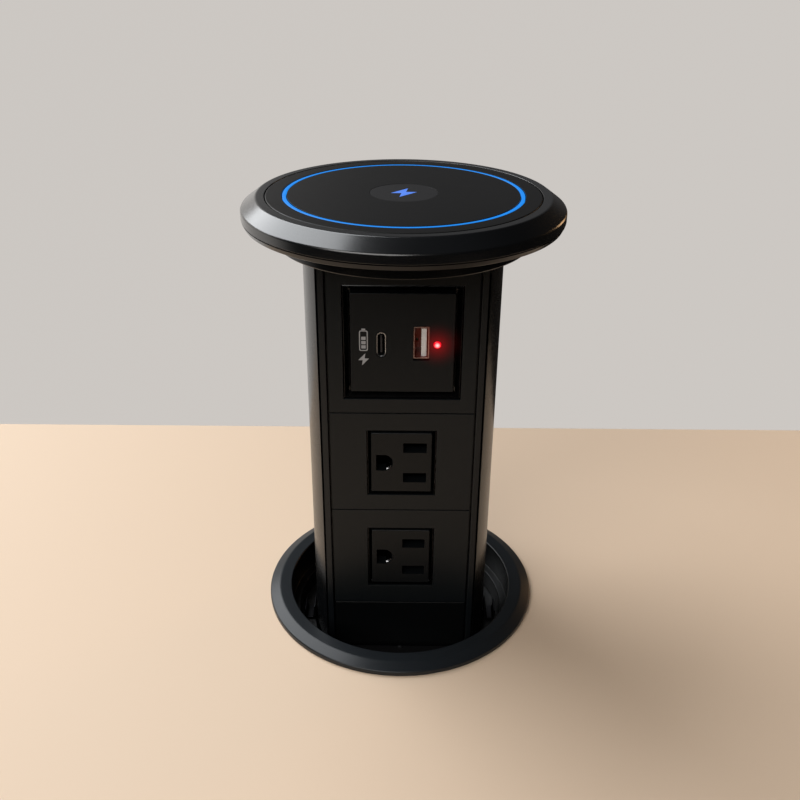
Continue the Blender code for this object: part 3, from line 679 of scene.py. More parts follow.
def build_bore_group() -> Tree:
    """Builds the group that paints shade inside a bore round the Z axis: inward of a radius it darkens a
    coat's colour.

    Returns:
        The group, with Colour out.
    """
    inputs = {"Colour": Kind.COLOUR, "Radius": Kind.FLOAT}
    tree, given, result = new_group("bore_shade", inputs, {"Colour": Kind.COLOUR})
    place = add_node(tree, "ShaderNodeTexCoord")
    flat = add_node(tree, "ShaderNodeVectorMath", operation="MULTIPLY")
    flat.inputs[1].default_value = (1.0, 1.0, 0.0)
    tree.links.new(place.outputs["Object"], flat.inputs[0])
    away = add_node(tree, "ShaderNodeVectorMath", operation="LENGTH")
    tree.links.new(flat.outputs[0], away.inputs[0])
    past = math_node(tree, "SUBTRACT", away.outputs["Value"], given.outputs["Radius"])
    share = math_node(tree, "MINIMUM", math_node(tree, "DIVIDE", past, BORE_EDGE), 1.0)
    share = math_node(tree, "MAXIMUM", share, BORE_DIM)
    tint = add_node(tree, "ShaderNodeVectorMath", operation="SCALE")
    tree.links.new(given.outputs["Colour"], tint.inputs[0])
    tree.links.new(share, tint.inputs["Scale"])
    tree.links.new(tint.outputs[0], result.inputs["Colour"])
    return tree


SURFACE = build_surface_group()
HALO = build_halo_group()
BORE = build_bore_group()


# ---------------------------------------------------------------- finishes


@dataclass(frozen=True)
class Halo:
    """A soft emission on a surface, brightest at one point: the lamp's own core on its lens, and painted
    light from the lamp on the parts round it.
    """

    centre: Point
    reach: float
    colour: Colour
    power: float = 2.5


@dataclass(frozen=True)
class Finish:
    """One finish: its colour, its gloss and its grain."""

    name: str
    slot: Slot
    colour: Colour
    roughness: float
    metallic: float = 0.0
    specular: float = 0.5
    shade: float = 0.10
    spread: float = 0.04
    cloud_scale: float = 35.0
    grain_scale: float = 4000.0
    grain_depth: float = 0.010
    stretch: Point = (1.0, 1.0, 1.0)
    coat: float = 0.0
    coat_roughness: float = 0.12
    # An emission that fades from a point: painted light from a lamp on the parts round it, or the lamp's own
    # core on its lens.
    halo: Halo | None = None
    glow: Colour | None = None
    core: Colour | None = None
    strength: float = 1.0
    # Radius inward of which painted shade darkens the colour, inside a bore; 0 leaves it out.
    bore: float = 0.0

    def material(self) -> bpy.types.Material:
        """Returns the finish as a material, which is made the first time."""
        known = bpy.data.materials.get(self.name)
        if known:
            return known
        material = bpy.data.materials.new(self.name)
        material.use_nodes = True
        tree = material.node_tree
        shader = tree.nodes["Principled BSDF"]
        shader.inputs["Metallic"].default_value = self.metallic
        shader.inputs["Specular IOR Level"].default_value = self.specular
        shader.inputs["Coat Weight"].default_value = self.coat
        shader.inputs["Coat Roughness"].default_value = self.coat_roughness
        varied = add_node(tree, "ShaderNodeGroup", node_tree=SURFACE)
        values = {
            "Colour": (*self.colour, 1.0),
            "Shade": self.shade,
            "Roughness": self.roughness,
            "Spread": self.spread,
            "Cloud Scale": self.cloud_scale,
            "Grain Scale": self.grain_scale,
            "Stretch": self.stretch,
        }
        for label, value in values.items():
            varied.inputs[label].default_value = value
        colour = varied.outputs["Colour"]
        # Painted shade: the colour is darkened inward of the bore's radius.
        if self.bore:
            shade = add_node(tree, "ShaderNodeGroup", node_tree=BORE)
            shade.inputs["Radius"].default_value = self.bore
            tree.links.new(colour, shade.inputs["Colour"])
            colour = shade.outputs["Colour"]
        tree.links.new(colour, shader.inputs["Base Color"])
        tree.links.new(varied.outputs["Roughness"], shader.inputs["Roughness"])
        bump = add_node(tree, "ShaderNodeBump", {"Strength": 1.0, "Distance": self.grain_depth * MM})
        tree.links.new(varied.outputs["Height"], bump.inputs["Height"])
        tree.links.new(bump.outputs["Normal"], shader.inputs["Normal"])
        if self.halo:
            self.add_halo(tree, shader, self.halo)
        elif self.glow:
            self.add_glow(tree, shader, varied)
        return material

    def add_halo(self, tree: Tree, shader: bpy.types.Node, halo: Halo) -> None:
        """Adds an emission that fades from a point, over the glow if there is one: the lamp's own core on its
        lens, painted light from the lamp elsewhere.

        Args:
            tree: The material's node tree.
            shader: Its shader.
            halo: The light.
        """
        mask = add_node(tree, "ShaderNodeGroup", node_tree=HALO)
        mask.inputs["Centre"].default_value = halo.centre
        mask.inputs["Reach"].default_value = halo.reach
        mask.inputs["Power"].default_value = halo.power
        mix = add_node(tree, "ShaderNodeMix", data_type="RGBA")
        mix.inputs[6].default_value = (*(self.glow or (0.0, 0.0, 0.0)), 1.0)
        mix.inputs[7].default_value = (*halo.colour, 1.0)
        tree.links.new(mask.outputs["Mask"], mix.inputs[0])
        tree.links.new(mix.outputs[2], shader.inputs["Emission Color"])
        shader.inputs["Emission Strength"].default_value = self.strength

    def add_glow(self, tree: Tree, shader: bpy.types.Node, varied: bpy.types.Node) -> None:
        """Adds an even light with a fine grain in it.

        Args:
            tree: The material's node tree.
            shader: Its shader.
            varied: The group that varies the finish.
        """
        mix = add_node(tree, "ShaderNodeMix", data_type="RGBA")
        mix.inputs[6].default_value = (*self.glow, 1.0)
        mix.inputs[7].default_value = (*(self.core or self.glow), 1.0)
        tree.links.new(varied.outputs["Height"], mix.inputs[0])
        tree.links.new(mix.outputs[2], shader.inputs["Emission Color"])
        shader.inputs["Emission Strength"].default_value = self.strength


LED_PLACE = Extent.of("status_led")
LED_POINT = (LED_PLACE.centre.x, LED_PLACE.low.y, LED_PLACE.centre.z)
# Painted red light from the status light on the insert's face and frame: an emission that fades with distance
# from the light.
PAINTED_RED_SPILL = Halo(LED_POINT, 10.5 * MM, (0.24, 0.000, 0.002), 3.2)

SATIN_COAT = Finish(
    "satin_coat", Slot.SATIN, (0.0034, 0.0038, 0.0044), 0.27, specular=0.38, grain_depth=0.006
)
STRIP_COAT = Finish("strip_coat", Slot.SATIN, (0.0058, 0.0072, 0.0086), 0.34, specular=0.30)
PANEL_COAT = Finish(
    "panel_coat", Slot.SATIN, (0.0060, 0.0075, 0.0086), 0.36, specular=0.24, grain_depth=0.014
)
# A darker copy of the panel coat for the lowest panel: painted shade.
SHADED_COAT = Finish(
    "shaded_coat", Slot.SATIN, (0.0024, 0.0028, 0.0031), 0.36, specular=0.24, grain_depth=0.014
)
# The flange's coat, with painted shade that darkens its bore.
FLANGE_COAT = Finish(
    "flange_coat", Slot.SATIN, (0.0108, 0.0132, 0.0158), 0.30,
    specular=0.30, grain_depth=0.006, bore=45.3 * MM,
)
CAP_COAT = Finish("cap_coat", Slot.SATIN, (0.0026, 0.0031, 0.0038), 0.23, specular=0.80, grain_depth=0.004)
TRAY_COAT = Finish("tray_coat", Slot.SATIN, (0.0018, 0.0021, 0.0026), 0.22, specular=0.32, grain_depth=0.004)
INSERT_PLASTIC = Finish(
    "insert_plastic", Slot.PLASTIC, (0.0044, 0.0056, 0.0066), 0.38, grain_scale=3200.0, grain_depth=0.018,
    specular=0.22, halo=PAINTED_RED_SPILL,
)
FRAME_PLASTIC = Finish(
    "frame_plastic", Slot.PLASTIC, (0.0012, 0.0012, 0.0014), 0.18,
    specular=0.35, grain_depth=0.003, halo=PAINTED_RED_SPILL,
)
OUTLET_PLASTIC = Finish(
    "outlet_plastic", Slot.PLASTIC, (0.0040, 0.0050, 0.0058), 0.38,
    specular=0.22, grain_scale=3200.0, grain_depth=0.020,
)
MOAT_PLASTIC = Finish(
    "moat_plastic", Slot.PLASTIC, (0.0012, 0.0012, 0.0013), 0.20, specular=0.30, grain_depth=0.003
)
GLAND_PLASTIC = Finish("gland_plastic", Slot.PLASTIC, (0.012, 0.012, 0.013), 0.50, grain_depth=0.03)
CHARGING_PLATE = Finish(
    "charging_plate", Slot.PLATE, (0.0014, 0.0015, 0.0016), 0.36, specular=0.19, spread=0.05, cloud_scale=22.0
)
INLAY_PLATE = Finish("inlay_plate", Slot.PLATE, (0.011, 0.011, 0.012), 0.40, specular=0.28)
BLUE_GUIDE = Finish(
    "blue_guide",
    Slot.BLUE,
    (0.002, 0.01, 0.03),
    0.45,
    specular=0.2,
    cloud_scale=60.0,
    grain_scale=900.0,
    glow=(0.002, 0.225, 0.84),
    core=(0.012, 0.29, 0.90),
)
BLUE_MARK = Finish(
    "blue_mark",
    Slot.BLUE,
    (0.004, 0.01, 0.03),
    0.45,
    specular=0.2,
    grain_scale=900.0,
    glow=(0.075, 0.215, 0.84),
    core=(0.12, 0.28, 0.92),
)
RED_LENS = Finish(
    "red_lens",
    Slot.RED,
    (0.30, 0.01, 0.015),
    0.22,
    glow=(0.86, 0.000, 0.012),
    halo=Halo(LED_POINT, 1.05 * MM, (1.0, 0.82, 0.80), 1.1),
    strength=1.15,
)
PALE_INK = Finish("pale_ink", Slot.PALE, (0.34, 0.34, 0.35), 0.60, shade=0.2, grain_scale=6000.0)
PALE_MOULDING = Finish("pale_moulding", Slot.PALE, (0.74, 0.72, 0.70), 0.42)
# Plated steel with painted red light from the status light: a red tint in its colour and an emission that
# fades from the light.
PAINTED_LIT_STEEL = Finish(
    "painted_lit_steel", Slot.STEEL, (0.36, 0.27, 0.25), 0.28, 1.0, stretch=(1.0, 0.05, 1.0), grain_scale=5000.0,
    grain_depth=0.006, halo=Halo(LED_POINT, 11.0 * MM, (0.16, 0.010, 0.004), 1.6),
)
# The port's insulator with painted red light from the status light, an emission that fades from the light.
PAINTED_LIT_INSULATOR = Finish(
    "painted_lit_insulator", Slot.PLASTIC, (0.010, 0.004, 0.003), 0.40, shade=0.4, grain_scale=1500.0,
    halo=Halo(LED_POINT, 15.0 * MM, (0.13, 0.012, 0.004), 1.2),
)
PLATED_STEEL = Finish(
    "plated_steel", Slot.STEEL, (0.52, 0.52, 0.54), 0.28, 1.0, stretch=(1.0, 1.0, 0.08), grain_depth=0.006
)
DARK_SPRING = Finish("dark_spring", Slot.STEEL, (0.030, 0.030, 0.033), 0.34, 1.0, grain_depth=0.006)
RIVET_STEEL = Finish("rivet_steel", Slot.STEEL, (0.16, 0.16, 0.17), 0.35, 1.0, grain_depth=0.006)
STAMPED_BRASS = Finish(
    "stamped_brass", Slot.BRASS, (0.55, 0.42, 0.22), 0.30, 1.0, stretch=(0.1, 1.0, 1.0), grain_depth=0.006
)
EARTH_PLATING = Finish("earth_plating", Slot.BRASS, (0.26, 0.26, 0.27), 0.20, 1.0, grain_depth=0.004)
LITZ_WIRE = Finish(
    "litz_wire", Slot.COPPER, (0.72, 0.30, 0.14), 0.38, 0.9, shade=0.3, grain_scale=2500.0, grain_depth=0.05
)
SOLDER_RESIST = Finish(
    "solder_resist", Slot.BOARD, (0.02, 0.12, 0.055), 0.32, shade=0.35, coat=0.4, grain_scale=900.0
)
SINTERED_FERRITE = Finish(
    "sintered_ferrite", Slot.FERRITE, (0.05, 0.05, 0.055), 0.62, shade=0.25, grain_depth=0.05
)
SEAL_RUBBER = Finish("seal_rubber", Slot.RUBBER, (0.008, 0.008, 0.008), 0.70, specular=0.35, grain_depth=0.05)
NATURAL_NYLON = Finish("natural_nylon", Slot.NYLON, (0.76, 0.74, 0.68), 0.50, grain_depth=0.02)
SLEEVE_NYLON = Finish(
    "sleeve_nylon", Slot.GREY, (0.016, 0.016, 0.018), 0.42, shade=0.14, grain_scale=2600.0, grain_depth=0.035
)
GUIDE_NYLON = Finish("guide_nylon", Slot.GREY, (0.004, 0.004, 0.0045), 0.38, specular=0.4, grain_depth=0.02)


def finish_piece(
    shape: Mesh, name: str, body: Body, finish: Finish, *nodes: str, smooth: float = SMOOTH_LIMIT
) -> bpy.types.Object:
    """Makes the shape an object with its finish, on its body.

    Args:
        shape: The finished mesh, in its place.
        name: The piece's name.
        body: The body it rides on.
        finish: Its finish.
        nodes: The CAD nodes it stands for.
        smooth: The greatest angle that is shaded smooth.

    Returns:
        The piece.
    """
    mesh = bpy.data.meshes.new(name)
    shape.to_mesh(mesh)
    shape.free()
    mesh.shade_smooth()
    mesh.set_sharp_from_angle(angle=smooth)
    mesh.materials.append(finish.material())
    piece = bpy.data.objects.new(name, mesh)
    bpy.context.scene.collection.objects.link(piece)
    weighted = piece.modifiers.new("even_shading", "WEIGHTED_NORMAL")
    weighted.keep_sharp = True
    weighted.weight = 80
    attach(piece, body.value)
    if nodes:
        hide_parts(*nodes)
    LOG.info("%s on %s for %s", name, body.value, ", ".join(nodes) or "nothing")
    return piece


def dress_node(node: str, finish: Finish) -> None:
    """Gives a CAD node that stays its finish."""
    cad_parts[node].material_slots[0].material = finish.material()
    LOG.info("%s keeps its shape in %s", node, finish.name)


@dataclass(frozen=True)
class SunkScrew:
    """A pan head screw with a cross recess, sunk in a round pocket."""

    length: float
    head: float = 2.7 * MM
    height: float = 0.9 * MM
    shank: float = 1.2 * MM
    sink: float = 1.1 * MM
    pocket_radius: float = 3.1 * MM
    pocket_depth: float = 4.0 * MM
    pocket_rise: float = 0.6 * MM

    def solid(self) -> Mesh:
        """Builds the screw, with its head's underside at z = 0.

        Returns:
            The closed solid.
        """
        corners = [
            (0.0, self.height, 0.0),
            (0.72 * self.head, self.height, 0.30 * self.height),
            (self.head, 0.45 * self.height, 0.25 * self.height),
            (self.head, 0.0, 0.0),
            (self.shank, 0.0, 0.0),
            (self.shank, -self.length, 0.2 * self.shank),
            (0.0, -self.length, 0.0),
        ]
        screw = turned(corners, STEPS_SMALL, closed=False)
        floor = 0.45 * self.height
        long, narrow = 1.15 * self.head, 0.26 * self.head
        for width, breadth in ((long, narrow), (narrow, long)):
            arm = prism([rectangle(width, breadth)], Facing.UP, floor, self.height + 1.0 * MM)
            screw = carved(screw, arm)
        return screw

    def placed(self, angle: float, radius: float, z: float) -> Mesh:
        """Builds the screw in its pocket.

        Args:
            angle: Where it is round the axis, in degrees.
            radius: The outer radius of the cover that it holds.
            z: Its height.

        Returns:
            The closed solid.
        """
        return moved(self.solid(), outward(angle, radius - self.sink, z))

    def sunk_in(self, cover: Mesh, angle: float, radius: float, z: float) -> Mesh:
        """Cuts the screw's pocket.

        Args:
            cover: The round cover that the screw holds.
            angle: Where the pocket is round the axis, in degrees.
            radius: The cover's outer radius.
            z: The pocket's height.

        Returns:
            The cover with its pocket.
        """
        pocket = bmesh.new()
        bmesh.ops.create_cone(
            pocket,
            cap_ends=True,
            segments=STEPS_SMALL,
            radius1=self.pocket_radius,
            radius2=self.pocket_radius,
            depth=self.pocket_depth,
        )
        return carved(cover, moved(pocket, outward(angle, radius + self.pocket_rise, z)))


# ---------------------------------------------------------------- housing in the worktop


@dataclass
class WorktopFlange:
    """The flange that lies on the worktop, with its gasket, the guide plate and the spring clips."""

    ring: Extent = extent("flange_ring")
    gasket: Extent = extent("flange_gasket")
    guide: Extent = extent("guide_plate")
    clips: dict[str, Extent] = field(
        default_factory=lambda: {side: Extent.of(f"guide_clip_{side}") for side in ("left", "right")}
    )
    chamfer_width: float = 4.1 * MM
    side_height: float = 1.6 * MM
    bore: float = 45.0 * MM
    neck: float = 46.3 * MM
    sleeve_bore: float = 42.0 * MM
    spigot: float = 43.4 * MM
    seal_bore: float = 47.0 * MM
    ledge: float = -8.0 * MM
    shoulder: float = -10.0 * MM
    underside: float = 1.1 * MM
    opening: float = 35.7 * MM
    opening_front: float = -19.9 * MM
    opening_steps: int = 104
    rivet_size: tuple[float, float, float] = (1.5 * MM, 1.1 * MM, 0.5 * MM)
    rivet_inset: float = 1.1 * MM
    leaf: float = 0.8 * MM
    clip_half_width: float = 4.0 * MM
    clip_bend: float = 1.6 * MM
    clip_step: float = 1.5 * MM

    def build(self) -> None:
        """Builds and dresses every piece."""
        self.build_ring()
        self.build_guide()
        for side, place in self.clips.items():
            self.build_clip(side, place)

    def build_ring(self) -> None:
        """Builds the flange and the gasket under it."""
        edge = self.ring.high.x
        top = self.ring.high.z
        bottom = self.ring.low.z
        section = [
            (edge - self.chamfer_width, top, 0.5 * MM),
            (edge, top - self.side_height, 0.45 * MM),
            (edge, 0.2 * MM, 0.2 * MM),
            (edge - 1.0 * MM, 0.2 * MM, 0.0),
            (edge - 1.0 * MM, self.underside, 0.0),
            (self.neck, self.underside, 0.0),
            (self.neck, self.shoulder, 0.2 * MM),
            (self.spigot, self.shoulder, 0.0),
            (self.spigot, bottom, 0.2 * MM),
            (self.sleeve_bore, bottom, 0.2 * MM),
            (self.sleeve_bore, self.ledge, 0.35 * MM),
            (self.bore, self.ledge, 0.2 * MM),
            (self.bore, top, 0.55 * MM),
        ]
        ring = turned(section, STEPS_FLANGE)
        finish_piece(ring, "worktop_flange", Body.HOUSING, FLANGE_COAT, "flange_ring")
        low, high = self.gasket.low.z, self.gasket.high.z
        width, middle = self.gasket.high.x - self.seal_bore, (self.gasket.high.x + self.seal_bore) / 2
        section = rectangle(width, high - low, 0.2 * MM, middle, (low + high) / 2)
        finish_piece(turned(section), "flange_seal", Body.HOUSING, SEAL_RUBBER, "flange_gasket")

    def build_guide(self) -> None:
        """Builds the plate that keeps the column upright, with a small rivet behind its front edge."""
        low, high = self.guide.low.z, self.guide.high.z
        disc = Round(self.guide.high.x, STEPS_SLEEVE)
        opening = Round(self.opening, self.opening_steps, flat=self.opening_front)
        plate = prism([disc, opening], Facing.UP, low, high)
        soften(plate, 0.35 * MM, 2, lambda middle: middle.z > high - 0.1 * MM)
        finish_piece(plate, "steadying_plate", Body.HOUSING, GUIDE_NYLON, "guide_plate")
        width, depth, height = self.rivet_size
        outline = rectangle(width, depth, 0.3 * MM, 0.0, self.opening_front - self.rivet_inset)
        rivet = prism([outline], Facing.UP, high, high + height)
        soften(rivet, 0.15 * MM, 2)
        finish_piece(rivet, "steadying_plate_rivet", Body.HOUSING, RIVET_STEEL)

    def build_clip(self, side: str, place: Extent) -> None:
        """Builds one U-shaped spring clip with rounded bends.

        Args:
            side: The side of the column that it's on.
            place: The box of its CAD node.
        """
        outer, inner = place.high.x, place.low.x
        low, high = place.low.z, place.high.z
        if side == "left":
            outer, inner = -place.low.x, -place.high.x
        bend = self.clip_bend
        corners = [
            (inner, low, bend),
            (outer, low, bend),
            (outer, high - self.clip_step, 0.3 * MM),
            (outer - self.leaf, high - self.clip_step, 0.3 * MM),
            (outer - self.leaf, low + self.leaf, bend - self.leaf),
            (inner + self.leaf, low + self.leaf, bend - self.leaf),
            (inner + self.leaf, high, 0.3 * MM),
            (inner, high, 0.3 * MM),
        ]
        if side == "left":
            corners = mirrored(corners)
        clip = prism([corners], Facing.FRONT, -self.clip_half_width, self.clip_half_width)
        soften(clip, 0.15 * MM, 2)
        finish_piece(clip, f"spring_clip_{side}", Body.HOUSING, DARK_SPRING, f"guide_clip_{side}")


@dataclass
class Sleeve:
    """The threaded sleeve under the worktop and the cover at its lower end."""

    tube: Extent = extent("sleeve_tube")
    cover: Extent = extent("end_cap")
    screws: tuple[tuple[str, float], ...] = (("end_cap_screw_1", 0.0), ("end_cap_screw_2", 180.0))
    root: float = 45.0 * MM
    crest: float = 46.3 * MM
    bore: float = 42.0 * MM
    seat: float = 43.7 * MM
    seat_bottom: float = -20.3 * MM
    lower_radius: float = 43.9 * MM
    thread_top: float = -14.5 * MM
    thread_bottom: float = -90.5 * MM
    pitch: float = 4.0 * MM
    ridge_half_width: float = 1.45 * MM
    crest_half_width: float = 0.45 * MM
    steps_per_turn: int = 72
    cord_opening: float = 19.0 * MM
    screw: SunkScrew = SunkScrew(length=3.0 * MM)

    def build(self) -> None:
        """Builds and dresses every piece."""
        self.build_tube()
        self.build_thread()
        self.build_cover()

    def build_tube(self) -> None:
        """Builds the tube, with a plain collar above the thread and a run-out below it."""
        top, bottom = self.tube.high.z, self.tube.low.z
        section = [
            (self.crest, top, 0.3 * MM),
            (self.crest, top - 2.4 * MM, 0.3 * MM),
            (self.root, top - 3.6 * MM, 0.3 * MM),
            (self.root, self.thread_bottom - 1.5 * MM, 0.4 * MM),
            (self.lower_radius, self.thread_bottom - 4.0 * MM, 0.6 * MM),
            (self.lower_radius, bottom, 0.3 * MM),
            (self.bore, bottom, 0.3 * MM),
            (self.bore, self.seat_bottom, 0.0),
            (self.seat, self.seat_bottom, 0.0),
            (self.seat, top, 0.3 * MM),
        ]
        finish_piece(turned(section, STEPS_SLEEVE), "sleeve_body", Body.HOUSING, SLEEVE_NYLON, "sleeve_tube")

    def build_thread(self) -> None:
        """Builds the coarse right-hand thread as one ridge that climbs round the tube."""
        turns = int((self.thread_top - self.thread_bottom) / self.pitch) - 1
        base = self.thread_bottom + 0.5 * self.pitch
        foot = self.root - 0.4 * MM
        shape = bmesh.new()
        section = [
            (foot, base - self.ridge_half_width, 0.0),
            (self.crest, base - self.crest_half_width, 0.2 * MM),
            (self.crest, base + self.crest_half_width, 0.2 * MM),
            (foot, base + self.ridge_half_width, 0.0),
        ]
        add_loop(shape, section)
        bmesh.ops.transform(shape, matrix=Facing.FRONT.matrix(), verts=shape.verts)
        bmesh.ops.spin(
            shape,
            geom=shape.verts[:] + shape.edges[:],
            cent=(0.0, 0.0, 0.0),
            axis=(0.0, 0.0, 1.0),
            dvec=(0.0, 0.0, self.pitch / self.steps_per_turn),
            angle=math.tau * turns,
            steps=self.steps_per_turn * turns,
            use_merge=False,
        )
        ends = [edge for edge in shape.edges if edge.is_boundary]
        bmesh.ops.holes_fill(shape, edges=ends, sides=0)
        finish_piece(tidy(shape), "sleeve_thread", Body.HOUSING, SLEEVE_NYLON)

    def build_cover(self) -> None:
        """Builds the end cover and its sunk screws."""
        radius = self.cover.high.y
        top, bottom = self.cover.high.z, self.cover.low.z
        floor = self.tube.low.z - 0.3 * MM
        inner = self.lower_radius + 0.3 * MM
        section = [
            (radius, top, 0.5 * MM),
            (radius, bottom, 1.0 * MM),
            (self.cord_opening, bottom, 0.8 * MM),
            (self.cord_opening, floor, 0.6 * MM),
            (inner, floor, 0.3 * MM),
            (inner, top, 0.3 * MM),
        ]
        cover = turned(section, STEPS_MEDIUM)
        middle = Extent.of(self.screws[0][0]).centre.z
        for _, angle in self.screws:
            cover = self.screw.sunk_in(cover, angle, radius, middle)
        finish_piece(cover, "end_cover", Body.HOUSING, SLEEVE_NYLON, "end_cap")
        for node, angle in self.screws:
            screw = self.screw.placed(angle, radius, middle)
            finish_piece(screw, node + "_head", Body.HOUSING, PLATED_STEEL, node)


@dataclass
class Clamp:
    """The rubber washer and the ring nut that press on the worktop from below."""

    washer: Extent = extent("clamp_washer")
    nut: Extent = extent("clamp_nut")
    washer_bore: float = 46.8 * MM
    nut_bore: float = 46.6 * MM
    nut_radius: float = 55.0 * MM
    lug_radius: float = 59.0 * MM
    ridges: tuple[float, ...] = (3.5 * MM, 6.7 * MM, 9.9 * MM)
    lugs: int = 8
    steps_per_lug: int = 14
    lug_share: float = 0.36

    def build(self) -> None:
        """Builds and dresses both pieces."""
        self.build_washer()
        self.build_nut()

    def build_washer(self) -> None:
        """Builds the washer with ridges that grip the wood."""
        low, high, radius = self.washer.low.z, self.washer.high.z, self.washer.high.x
        section = [(self.washer_bore, high, 0.25 * MM)]
        for ridge in self.ridges:
            middle = self.washer_bore + ridge
            section += [
                (middle - 0.7 * MM, high, 0.1 * MM),
                (middle - 0.3 * MM, high - 0.5 * MM, 0.1 * MM),
                (middle + 0.3 * MM, high - 0.5 * MM, 0.1 * MM),
                (middle + 0.7 * MM, high, 0.1 * MM),
            ]
        section += [(radius, high, 0.5 * MM), (radius, low, 0.5 * MM), (self.washer_bore, low, 0.25 * MM)]
        finish_piece(turned(section, STEPS_MEDIUM), "grip_washer", Body.WASHER, SEAL_RUBBER, "clamp_washer")

    def build_nut(self) -> None:
        """Builds the ring nut with finger lugs round its rim."""
        low, high = self.nut.low.z, self.nut.high.z
        section = [
            (self.nut_radius, high, 0.0),
            (self.nut_radius, low, 0.0),
            (self.nut_bore, low, 0.0),
            (self.nut_bore, high, 0.0),
        ]
        shape = turned(section, self.lugs * self.steps_per_lug)
        step = math.tau / self.lugs
        faces = []
        for face in shape.faces:
            middle = face.calc_center_median()
            turn = math.atan2(middle.y, middle.x) % step
            if abs(face.normal.z) < 0.5 and middle.to_2d().length > self.nut_radius - 1.0 * MM:
                if turn < self.lug_share * step:
                    faces.append(face)
        made = bmesh.ops.extrude_face_region(shape, geom=faces)["geom"]
        verts = [item for item in made if isinstance(item, bmesh.types.BMVert)]
        bmesh.ops.delete(shape, geom=faces, context="FACES")
        grow = self.lug_radius / self.nut_radius
        bmesh.ops.scale(shape, vec=(grow, grow, 1.0), verts=verts)
        tidy(shape)
        soften(shape, 0.7 * MM, 3, limit=38.0)
        finish_piece(shape, "ring_nut", Body.NUT, SLEEVE_NYLON, "clamp_nut")


# ---------------------------------------------------------------- column


@dataclass
class Column:
    """The column's covers, its front strips and the plain parts inside it."""

    top: float = field(default_factory=lambda: Extent.of("side_shell_right").high.z)
    bottom: float = field(default_factory=lambda: Extent.of("side_shell_right").low.z)
    rail: Extent = extent("front_rail_right")
    radius: float = 35.0 * MM
    wall: float = 2.0 * MM
    front_angle: float = -33.0
    inner_angle: float = -27.0
    rear_angle: float = 50.0
    seam_angle: float = 0.65
    strip_inner: float = 26.5 * MM
    strip_play: float = 0.2 * MM
    strip_tilt: float = 0.4 * MM
    panel_back: float = -16.2 * MM
    wall_steps: int = 56
    screw: SunkScrew = SunkScrew(length=7.0 * MM)

    def build(self) -> None:
        """Builds and dresses every piece."""
        self.build_sides()
        self.build_strips()
        self.build_rear()
        self.dress_inside()

    def build_sides(self) -> None:
        """Builds the two curved side covers."""
        outer = (self.radius, self.front_angle, self.rear_angle)
        inner = (self.radius - self.wall, self.inner_angle, self.rear_angle)
        for side in ("right", "left"):
            shape = curved_wall(outer, inner, self.bottom, self.top, self.wall_steps)
            soften(shape, 0.25 * MM, 3)
            if side == "left":
                moved(shape, Matrix.Scale(-1.0, 4, (1.0, 0.0, 0.0)))
                tidy(shape)
            finish_piece(shape, f"side_cover_{side}", Body.TOWER, SATIN_COAT, f"side_shell_{side}")

    def build_strips(self) -> None:
        """Builds the flat strips between the side covers and the panels."""
        front, back = self.rail.low.y, self.rail.high.y
        outer, lip = self.rail.high.x - self.strip_play, self.rail.low.x
        corners = [
            (self.strip_inner, front, 0.4 * MM),
            (outer, front + self.strip_tilt, 0.4 * MM),
            (outer, back, 0.0),
            (lip, back, 0.0),
            (lip, self.panel_back + 0.3 * MM, 0.0),
            (self.strip_inner, self.panel_back + 0.3 * MM, 0.0),
        ]
        for side, outline in (("right", corners), ("left", mirrored(corners))):
            shape = prism([outline], Facing.UP, self.bottom, self.top)
            finish_piece(shape, f"front_strip_{side}", Body.TOWER, STRIP_COAT, f"front_rail_{side}")

    def build_rear(self) -> None:
        """Builds the rear cover and its sunk screws."""
        start = self.rear_angle + self.seam_angle
        outer = (self.radius, start, 180.0 - start)
        inner = (self.radius - self.wall, start, 180.0 - start)
        cover = curved_wall(outer, inner, self.bottom, self.top, self.wall_steps)
        soften(cover, 0.25 * MM, 3)
        for node in ("rear_cover_screw_top", "rear_cover_screw_bottom"):
            middle = Extent.of(node).centre.z
            cover = self.screw.sunk_in(cover, 90.0, self.radius, middle)
            screw = self.screw.placed(90.0, self.radius, middle)
            finish_piece(screw, node + "_head", Body.TOWER, PLATED_STEEL, node)
        finish_piece(cover, "rear_cover_panel", Body.TOWER, SATIN_COAT, "rear_cover")

    def dress_inside(self) -> None:
        """Dresses the parts inside the column, whose plain shapes stay."""
        for node in ("head_plate", "tower_foot"):
            dress_node(node, SLEEVE_NYLON)
        for node in ("guide_shoe_left", "guide_shoe_right"):
            dress_node(node, NATURAL_NYLON)
        for node in ("cord_gland", "gland_nut"):
            dress_node(node, GLAND_PLASTIC)
        dress_node("stop_ring", SEAL_RUBBER)
        dress_node("chassis_spine", PLATED_STEEL)
        dress_node("usb_board", SOLDER_RESIST)


@dataclass
class FrontPanel:
    """One of the flat panels on the column's front, with a window where it has one."""

    node: str
    name: str
    window: tuple[float, float, float] | None = None
    finish: Finish = PANEL_COAT

    def build(self) -> None:
        """Builds the panel; the window is its width, its height and its middle's height."""
        place = Extent.of(self.node)
        middle = place.centre.z
        outer = rectangle(place.size.x, place.size.z, 0.25 * MM, 0.0, middle)
        front, back = place.low.y, place.high.y
        if self.window:
            width, height, centre = self.window
            inner = rectangle(width, height, 0.25 * MM, 0.0, centre)
            shape = prism([outer, inner], Facing.FRONT, front, back)
        else:
            shape = prism([outer], Facing.FRONT, front, back)
        soften(shape, 0.22 * MM, 3, lambda point: point.y < front + 0.5 * MM)
        finish_piece(shape, self.name, Body.TOWER, self.finish, self.node)


